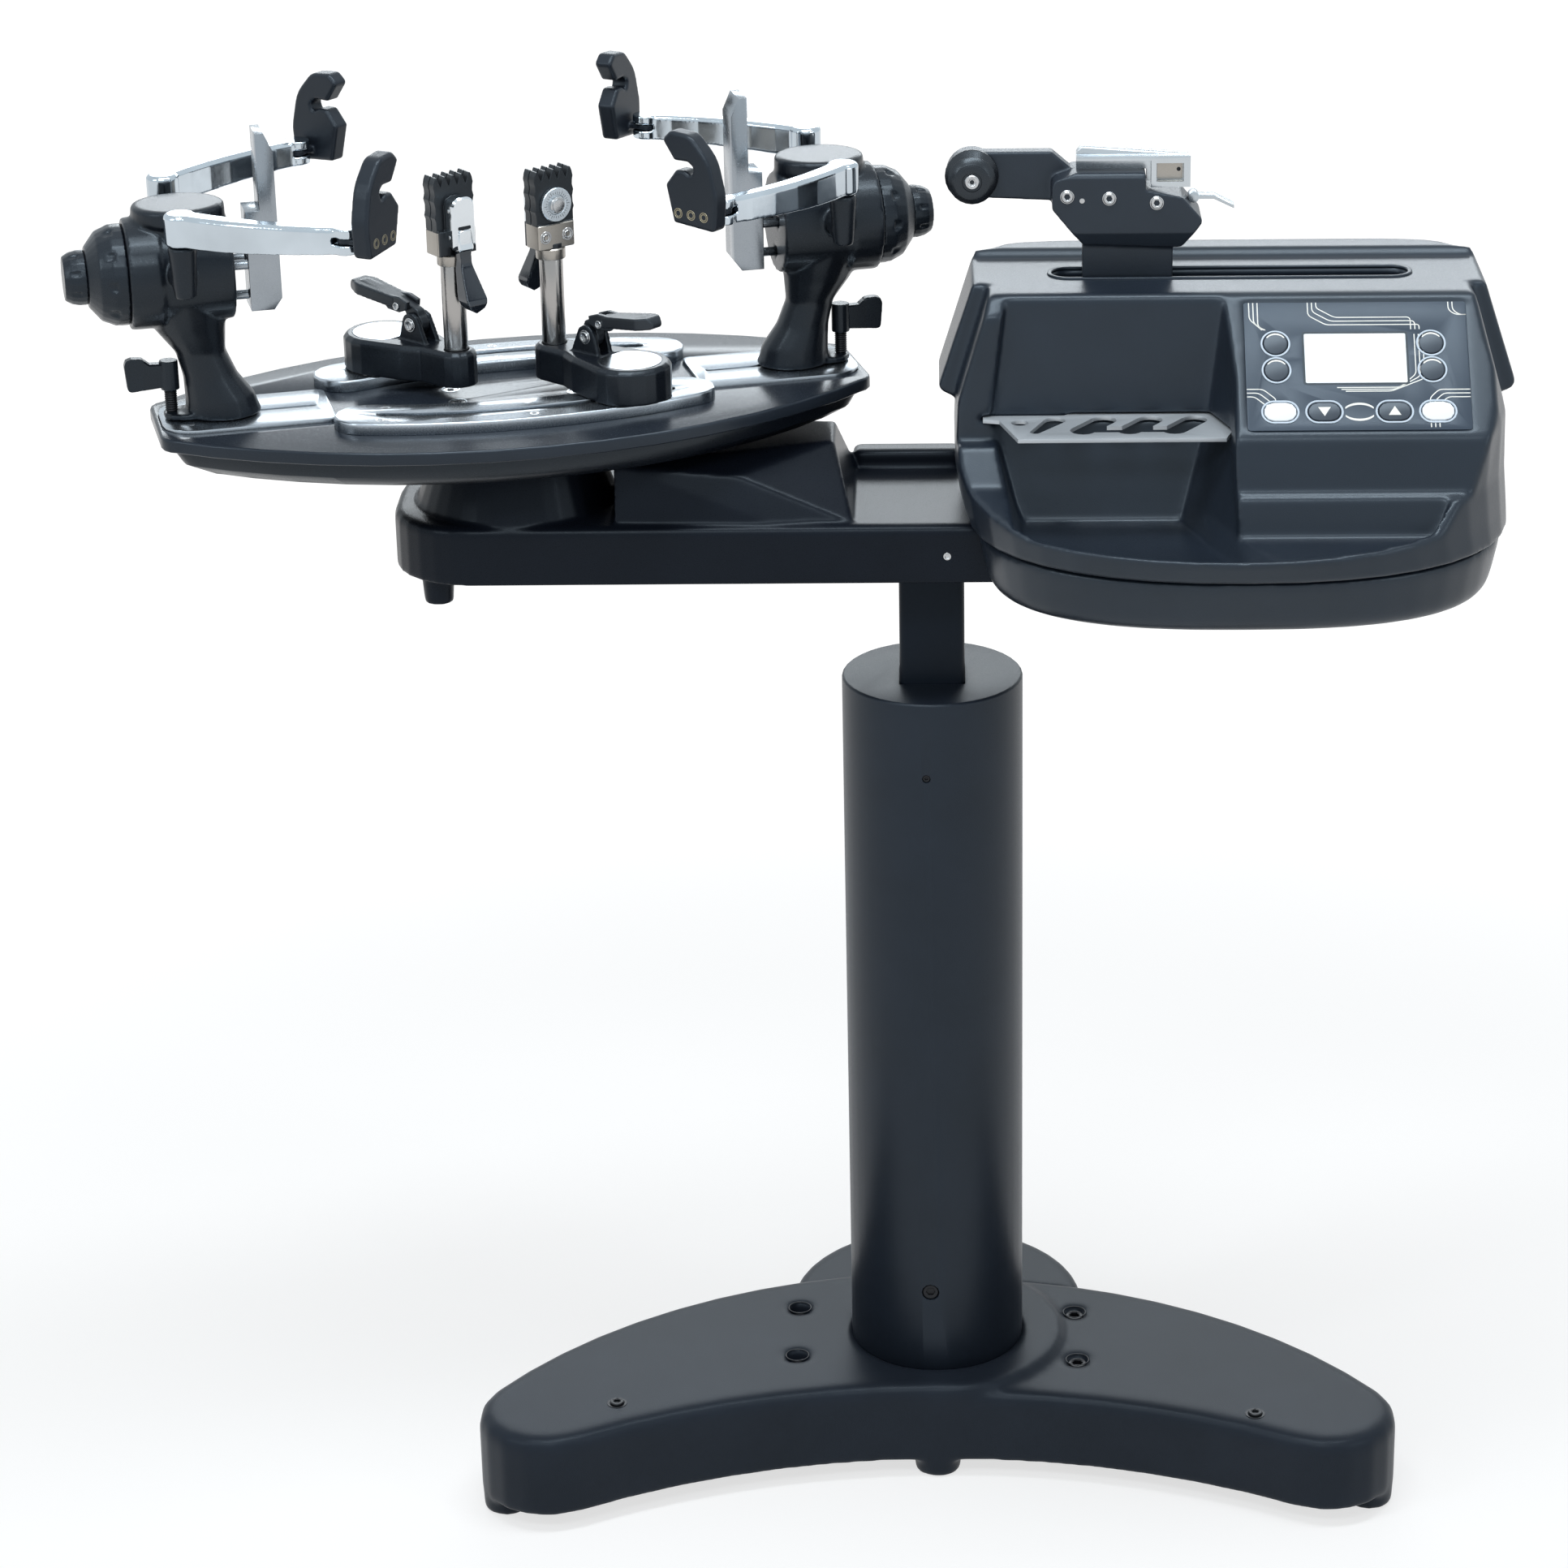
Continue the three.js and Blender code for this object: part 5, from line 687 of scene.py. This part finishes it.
def dress_jaws(side, head):
    """The two black combs that grip the string."""
    standing = head @ turned("X", 90)
    for name, low, high in (("front", 0.45, JAW_FRONT + 0.2), ("back", -7.2, -0.45)):
        comb = prism(comb_outline(), low, high, 0.35)
        piece(f"{side}_jaw_comb_{name}", side + "_clamp_head", comb, "jaw_black", standing,
              smooth=25)


def latch_outline(half, low, high):
    """A plate with a flat foot and round shoulders."""
    radius = half * 0.75
    shoulder = half - radius
    return [(half, low), *arc(shoulder, high - radius, radius, 0, 90, 8),
            *arc(-shoulder, high - radius, radius, 90, 180, 8), (-half, low)]


def dress_latch(side, head):
    """The polished cover on the back jaw, its window as a near-black sheet of painted shade, and
    the link that meets the handle.
    """
    body = side + "_clamp_head"
    standing = head @ turned("X", 90)
    cover = prism(latch_outline(9.8, HEAD_Z + 9, HEAD_Z + 46), -19.8, -8.6, 1.4)
    piece(side + "_latch_cover", body, cover, "chrome", standing, smooth=40)
    # The window is a near-black sheet on the cover, painted as the shade inside the opening.
    opening = rounded_box(-5.4, 5.4, HEAD_Z + 21.8, HEAD_Z + 24.4, 0.8)
    piece(side + "_latch_window_shade", body, prism(opening, -20.1, -19.2, 0.15), "painted_shade_dark", standing)
    link = prism(rounded_box(-5, 5, HEAD_Z + 10, HEAD_Z + 21.5, 1.6), -21.2, -19.4, 0.5)
    piece(side + "_latch_link", body, link, "chrome", standing)
    for name, sign in (("a", -1), ("b", 1)):
        for k, z in enumerate(RIVET_HEIGHTS):
            place = head @ at(sign * RIVET_X, RIVET_Y, HEAD_Z + z) @ turned("Y", sign * 90)
            rivet = lathe([(1.7, 0), (1.7, 0.5), (1.2, 0.8), (0.2, 0.85)], 20)
            piece(f"{side}_latch_rivet_{name}{k}", body, rivet, "screw_steel", place)


def dress_handle(side, head):
    """The bright fork where the handle meets the latch."""
    fork = prism(rounded_box(-6.6, 6.6, -10, 5, 2.2), -5.6, 5.6, 1.2)
    place = head @ at(0, FORK_Y, FORK_Z) @ turned("X", 90 + FORK_LEAN)
    piece(side + "_handle_fork", side + "_clamp_jaw_handle", fork, "chrome", place)


def dress_base(side, base):
    """The silver inlay, the pivot's two screws, and the cheeks and bolts of the base lever."""
    body = side + "_clamp"
    lever = side + "_clamp_base_lever"
    round_end = arc(INLAY_X, 0, INLAY_RADIUS, -INLAY_END, INLAY_END, 40)
    inlay = prism(round_end, BASE_HEIGHT - 1.1, BASE_HEIGHT + 0.15, 0.1)
    piece(side + "_base_inlay", body, inlay, "rail_silver", base)
    for name, sign in (("a", 1), ("b", -1)):
        screw = socket_screw(LUG_SCREW, 1.7, 0.55, 0.7) + washer(LUG_SCREW + 1.2, LUG_SCREW, 0.6)
        place = base @ at(PIVOT_X, -sign * LUG_HALF, PIVOT_Z) @ turned("X", sign * 90)
        piece(f"{side}_lug_screw_{name}0", body, screw, "screw_steel", place)
    for name, sign in (("a", 1), ("b", -1)):
        outline = CHEEK if sign > 0 else [(x, -z) for x, z in reversed(CHEEK)]
        cheek = prism(outline, 0, 4.4, 0.8)
        place = base @ at(PIVOT_X, -sign * CHEEK_HALF, PIVOT_Z) @ turned("X", sign * 90)
        piece(f"{side}_lever_cheek_{name}", lever, cheek, "clamp_lever", place)
        bolt = socket_screw(3.1, 1.4, 0.55, 0.7)
        piece(f"{side}_lever_bolt_{name}", lever, bolt, "screw_steel",
              place @ at(14, sign * 12, 4.2))


def dress_clamp(side):
    base = clamp_place(side)
    head = base @ turned("Z", HEAD_TURN)
    dress_dial(side, head)
    dress_block(side, head)
    dress_jaws(side, head)
    dress_latch(side, head)
    dress_handle(side, head)
    dress_base(side, base)


# Console.

SLOT_LEFT, SLOT_RIGHT, SLOT_HALF = 92, 356, 12
PANEL_WIDTH, PANEL_HEIGHT = 163, 106
LINE_WIDTH, LINE_GAP, LINE_BEND = 0.75, 3.1, 3
LINE_MARGIN = 0.3
DISPLAY_LEFT, DISPLAY_TOP, DISPLAY_WIDTH, DISPLAY_HEIGHT = 43, 25.8, 75, 41.7
KEY_COLUMNS = {"left": 22.5, "right": 136}
KEY_ROWS = {"upper": 34.6, "lower": 56.6}
OVAL_Y = 91
OVAL_X = {"key_bottom_left": 24, "key_down": 56, "key_up": 107, "key_bottom_right": 138.5}
KEY_PROUD = 1.2
KEY_RIM_STEPS = 43
# Bare signs on the two middle keys.
ARROWS = {"key_up": [(-4.6, -3.4), (4.6, -3.4), (0, 4)],
          "key_down": [(4.6, 3.4), (-4.6, 3.4), (0, -4)]}


def ribbon(points, width, low=0.0, high=0.08):
    """A flat line along points, with mitred corners."""
    path = [Vector(p) for p in points]
    left, right = [], []
    for i, here in enumerate(path):
        back = (here - path[i - 1]).normalized() if i else (path[1] - here).normalized()
        ahead = (path[i + 1] - here).normalized() if i < len(path) - 1 else back
        normal = Vector((-back.y - ahead.y, back.x + ahead.x)).normalized()
        lean = max(0.5, normal.dot(Vector((-back.y, back.x))))
        left.append(here + normal * (width / 2 / lean))
        right.append(here - normal * (width / 2 / lean))
    outline = [tuple(p) for p in right] + [tuple(p) for p in reversed(left)]
    count = len(outline)
    top_and_floor = [(x, y, high) for x, y in outline] + [(x, y, low) for x, y in outline]
    faces = [(i, i + 1, count - 2 - i, count - 1 - i) for i in range(len(path) - 1)]
    faces += [tuple(reversed([i + count for i in face])) for face in faces]
    faces += [(i, i + count, (i + 1) % count + count, (i + 1) % count) for i in range(count)]
    return Shape(top_and_floor, faces)


def rounded_path(corners, radius):
    """A polyline with its inner corners cut by short arcs."""
    path = [corners[0]]
    for i in range(1, len(corners) - 1):
        here = Vector(corners[i])
        back = Vector(corners[i - 1]) - here
        ahead = Vector(corners[i + 1]) - here
        reach = min(radius, back.length / 2, ahead.length / 2)
        start = here + back.normalized() * reach
        end = here + ahead.normalized() * reach
        for k in range(5):
            t = k / 4
            path.append(tuple(start.lerp(here, t).lerp(here.lerp(end, t), t)))
    path.append(corners[-1])
    return path


def traces():
    """The panel's generic line work: bundles of tracks, each track set in from the last."""
    for k in range(3):
        d = k * LINE_GAP
        yield [(4 + d, 0), (4 + d, -14 - d), (13 + d * 0.4, -23)]
        yield [(47 + d, 0), (47 + d, -11 + d), (60 + d, -19 + d), (128 - d, -19 + d),
               (128 - d, -23)]
        yield [(124 + d, -27), (124 + d, -60 - d * 0.6), (112 - d, -71 - d * 0.5),
               (66 + d, -71 - d * 0.5)]
        yield [(0, -72 - d), (12 - d, -72 - d), (21 - d, -80 - d), (21 - d, -83)]
        yield [(163, -73 - d), (140 + d, -73 - d), (133 + d, -80 - d), (133 + d, -104)]
    for k in range(2):
        d = k * LINE_GAP
        yield [(150 + d, 0), (150 + d, -7), (155 + d, -11), (163, -11)]


def on_panel(x, y):
    """The point, held inside the panel's edges."""
    return (min(max(x, LINE_MARGIN), PANEL_WIDTH - LINE_MARGIN),
            max(min(y, -LINE_MARGIN), LINE_MARGIN - PANEL_HEIGHT))


def display_outline(grow, radius):
    """The display's opening, grown on every side."""
    return rounded_box(
        DISPLAY_LEFT - grow, DISPLAY_LEFT + DISPLAY_WIDTH + grow,
        -DISPLAY_TOP - DISPLAY_HEIGHT - grow, -DISPLAY_TOP + grow, radius)


def dress_deck():
    """The raised lip round the carriage slot."""
    outer, inner = [capsule(SLOT_LEFT - g, SLOT_RIGHT + g, SLOT_HALF + g) for g in (4.2, 0.9)]
    lip = band(outer, inner, -0.4, 1.1, 0.5)
    piece("slot_lip", "head", lip, "console_moulding", STAND @ at(0, 0, DECK_Z), smooth=60)


def dress_panel():
    place = panel_place()
    lines = Shape()
    for corners in traces():
        inside = [on_panel(x, y) for x, y in corners]
        lines = lines + ribbon(rounded_path(inside, LINE_BEND), LINE_WIDTH)
    piece("panel_lines", "head", lines, "pale_ink_and_highlight", place)
    glass = prism(display_outline(-0.3, 1.2), -0.75, -0.05, 0.2)
    piece("display_glass", "head", glass, "glass_white", place)
    rim = band(display_outline(1.1, 2), display_outline(-0.4, 1.2), -0.5, 0.18, 0.1)
    piece("display_frame", "head", rim, "ink_dark", place)


def oval(half_x, half_y):
    return capsule(-half_x, half_x, half_y, 12)


def dress_keys():
    place = panel_place()
    for column, x in KEY_COLUMNS.items():
        for row, y in KEY_ROWS.items():
            name = f"{column}_{row}"
            spot = place @ at(x, -y, 0)
            rim = band(circle(10.9, KEY_RIM_STEPS), circle(9.45, KEY_RIM_STEPS), 0, 0.7, 0.3)
            piece(f"rim_{name}", "head", rim, "rim_pale", spot)
            # A pale crescent on each key's upper edge: a painted highlight, in the pale print
            # finish.
            gleam = [*arc(0, 0, 8.2, 35, 145, 14), *reversed(arc(0, -1.1, 8.0, 42, 138, 14))]
            piece(f"gleam_{name}", "key_" + name, prism(gleam, KEY_PROUD, KEY_PROUD + 0.08),
                  "pale_ink_and_highlight", spot)
    for name, x in OVAL_X.items():
        rim = band(oval(14.0, 9.5), oval(12.5, 8.0), 0, 0.7, 0.3)
        piece("rim_" + name, "head", rim, "rim_pale", place @ at(x, -OVAL_Y, 0))
    for name, arrow in ARROWS.items():
        spot = place @ at(OVAL_X[name], -OVAL_Y, KEY_PROUD)
        piece("arrow_" + name, name, prism(arrow, 0, 0.1), "pale_ink_and_highlight", spot)
    between = place @ at((OVAL_X["key_down"] + OVAL_X["key_up"]) / 2, -OVAL_Y, 0)
    crescent = [*arc(0, 0, 12, 30, 150, 18), *reversed(arc(0, -3.4, 12.6, 36, 144, 18))]
    upper = [(x, y * 0.62) for x, y in crescent]
    lower = [(x, -y) for x, y in reversed(upper)]
    for name, points in (("upper", upper), ("lower", lower)):
        piece("mark_" + name, "head", prism(points, 0, 0.1), "pale_ink_and_highlight", between)


# Gripper.

BODY_FRONT = -20.7
BODY_SCREWS = [(102, 1043), (133, 1041.5), (168, 1038)]
BODY_SCREW = 4.4
PIN_X, PIN_Z = 113, 1040
JAW_BACK = -6.35
ROLLER = (32, -22.3, 1055)


def dress_gripper():
    for k, (x, z) in enumerate(BODY_SCREWS):
        rim = washer(BODY_SCREW + 0.8, BODY_SCREW, 0.9)
        screw = socket_screw(BODY_SCREW, 1.6, 0.55, 0.8) + rim
        place = facing_front(x, BODY_FRONT, z)
        piece(f"gripper_screw_{k}", "carriage", screw, "screw_steel", place)
    pin = lathe([(1.9, 0), (1.9, 0.6), (1.2, 0.7), (0.2, 0.7)], 20)
    piece("gripper_pin", "carriage", pin, "screw_steel", facing_front(PIN_X, BODY_FRONT, PIN_Z))
    jaw = facing_front(0, JAW_BACK, 0)
    plate = prism(rounded_box(168.4, 187.6, 1052.4, 1065.6, 1), 0, 0.7, 0.2)
    piece("jaw_window_plate", "carriage_jaw", plate, "nickel", jaw)
    dot = lathe([(1.5, 0.6), (1.5, 1.1), (1.1, 1.3), (0.2, 1.3)], 20)
    piece("jaw_window_pin", "carriage_jaw", dot, "screw_black", jaw @ at(184.5, 1060, 0))
    cup = lathe([(12.4, 0), (12.4, 0.5), (11.4, 0.9), (7.4, 0.9), (7, 0.3), (6, 0.2)], 44)
    roller = facing_front(*ROLLER)
    piece("roller_face", "carriage_roller", cup, "roller_black", roller)
    screw = socket_screw(5.4, 1.7, 0.5, 0.8)
    piece("roller_screw", "carriage_roller", screw, "screw_steel", roller)


# Floor, camera and light.

FLOOR_HALF = 12
FLOOR_WHITE = (0.9, 0.9, 0.9)
# The floor's own glow, which hides its edge: distances from the column, and shares there.
GLOW_STRENGTH = 1.12
GLOW_REACH = (0.8, 1.9)
GLOW_SHARE = (0.62, 1.0)
IMAGE_SIZE = 1932
# The photograph's camera: place from the column's foot, middle column of pixels, and angles.
CAMERA_PLACE = (0.0059, -3.1428, 1.8783)
CAMERA_CENTRE_X = 1159
CAMERA_DOWN, CAMERA_ROLL = 22.6458, -0.4
CAMERA_LENS = 99.96
CAMERA_SENSOR = 36
CAMERA_REACH = 60
LAMP_COLOUR = (0.91, 0.965, 1.0)
LAMP_AIM = (0, 0, 0.8)
# Place, size and power.
LAMPS = {
    "overhead": ((0.15, -0.45, 3.2), (2.2, 0.5), 46),
    "front": ((-0.2, -2.3, 2.9), (1.8, 0.4), 22),
    "behind": ((0.1, 3.0, 1.9), (2.6, 0.45), 24),
    "key": ((-2.6, -1.9, 2.6), (0.45, 1.5), 15),
    "fill": ((2.7, -2.0, 2.0), (0.4, 1.7), 9),
}
WORLD_LIGHT, WORLD_SEEN = 0.28, 1.0
SKY_COLOUR, SEEN_COLOUR = (0.9, 0.96, 1.0), (1.0, 1.0, 1.0)


def pale_ray(tree):
    """1 for rays that should meet the plain white surroundings: camera, glossy, transmission."""
    path = tree.nodes.new("ShaderNodeLightPath")
    total = path.outputs["Is Camera Ray"]
    for name in ("Is Glossy Ray", "Is Transmission Ray"):
        adder = tree.nodes.new("ShaderNodeMath")
        adder.operation = "MAXIMUM"
        tree.links.new(total, adder.inputs[0])
        tree.links.new(path.outputs[name], adder.inputs[1])
        total = adder.outputs["Value"]
    return total


def floor_material():
    """A white floor that keeps the shadow near the stand and runs out to plain white."""
    nodes = Nodes("floor_white")
    nodes.shader.inputs["Base Color"].default_value = (*FLOOR_WHITE, 1)
    nodes.shader.inputs["Roughness"].default_value = 0.9
    nodes.shader.inputs["Specular IOR Level"].default_value = 0.0
    glow = nodes.new("ShaderNodeEmission")
    glow.inputs["Strength"].default_value = GLOW_STRENGTH
    reach = nodes.new("ShaderNodeVectorMath", operation="DISTANCE")
    reach.inputs[1].default_value = tuple(COLUMN)
    nodes.link(nodes.place, reach.inputs[0])
    share = nodes.new("ShaderNodeMapRange", interpolation_type="SMOOTHSTEP")
    share.inputs["From Min"].default_value, share.inputs["From Max"].default_value = GLOW_REACH
    share.inputs["To Min"].default_value, share.inputs["To Max"].default_value = GLOW_SHARE
    nodes.link(reach.outputs["Value"], share.inputs["Value"])
    only = nodes.new("ShaderNodeMath", operation="MULTIPLY")
    nodes.link(share.outputs["Result"], only.inputs[0])
    nodes.link(pale_ray(nodes.tree), only.inputs[1])
    mix = nodes.new("ShaderNodeMixShader")
    nodes.link(only.outputs["Value"], mix.inputs["Fac"])
    nodes.link(nodes.shader.outputs["BSDF"], mix.inputs[1])
    nodes.link(glow.outputs["Emission"], mix.inputs[2])
    nodes.link(mix.outputs["Shader"], nodes.tree.nodes["Material Output"].inputs["Surface"])
    return nodes.material


def build_floor():
    mesh = bpy.data.meshes.new("floor")
    corners = [(-1, -1), (1, -1), (1, 1), (-1, 1)]
    mesh.from_pydata([(x * FLOOR_HALF, y * FLOOR_HALF, 0) for x, y in corners], [], [(0, 1, 2, 3)])
    mesh.materials.append(floor_material())
    floor = bpy.data.objects.new("floor", mesh)
    bpy.context.scene.collection.objects.link(floor)


def build_camera():
    data = bpy.data.cameras.new("camera")
    data.sensor_width = CAMERA_SENSOR
    data.lens = CAMERA_LENS
    data.shift_x = (IMAGE_SIZE / 2 - CAMERA_CENTRE_X) / IMAGE_SIZE
    data.clip_end = CAMERA_REACH
    camera = bpy.data.objects.new("camera", data)
    bpy.context.scene.collection.objects.link(camera)
    bpy.context.scene.camera = camera
    place = Matrix.Translation(COLUMN + Vector(CAMERA_PLACE))
    camera.matrix_world = place @ turned("X", 90 - CAMERA_DOWN) @ turned("Z", CAMERA_ROLL)


def build_lamps():
    for name, (where, size, power) in LAMPS.items():
        data = bpy.data.lights.new(name, "AREA")
        data.shape = "RECTANGLE"
        data.size, data.size_y = size
        data.energy = power
        data.color = LAMP_COLOUR
        lamp = bpy.data.objects.new(name, data)
        lamp.location = where
        toward = Vector(LAMP_AIM) - Vector(where)
        lamp.rotation_euler = toward.to_track_quat("-Z", "Y").to_euler()
        bpy.context.scene.collection.objects.link(lamp)


def build_world():
    """Soft cool light all round, and plain white where the surroundings are seen."""
    world = bpy.data.worlds.new("studio")
    bpy.context.scene.world = world
    world.use_nodes = True
    tree = world.node_tree
    back = tree.nodes["Background"]
    strength = tree.nodes.new("ShaderNodeMapRange")
    strength.inputs["To Min"].default_value = WORLD_LIGHT
    strength.inputs["To Max"].default_value = WORLD_SEEN
    shade = tree.nodes.new("ShaderNodeMix")
    shade.data_type = "RGBA"
    shade.inputs[MIX_FIRST].default_value = (*SKY_COLOUR, 1)
    shade.inputs[MIX_SECOND].default_value = (*SEEN_COLOUR, 1)
    sight = tree.nodes.new("ShaderNodeLightPath")
    tree.links.new(sight.outputs["Is Camera Ray"], shade.inputs[MIX_FACTOR])
    tree.links.new(shade.outputs[MIX_RESULT], back.inputs["Color"])
    tree.links.new(pale_ray(tree), strength.inputs["Value"])
    tree.links.new(strength.outputs["Result"], back.inputs["Strength"])


dress_frame()
dress_stand()
dress_table()
dress_arm()
for side in SIDES:
    dress_tower(side)
    dress_clamp(side)
dress_deck()
dress_panel()
dress_keys()
dress_gripper()
build_floor()
build_camera()
build_lamps()
build_world()
bpy.context.scene.view_settings.view_transform = "Standard"
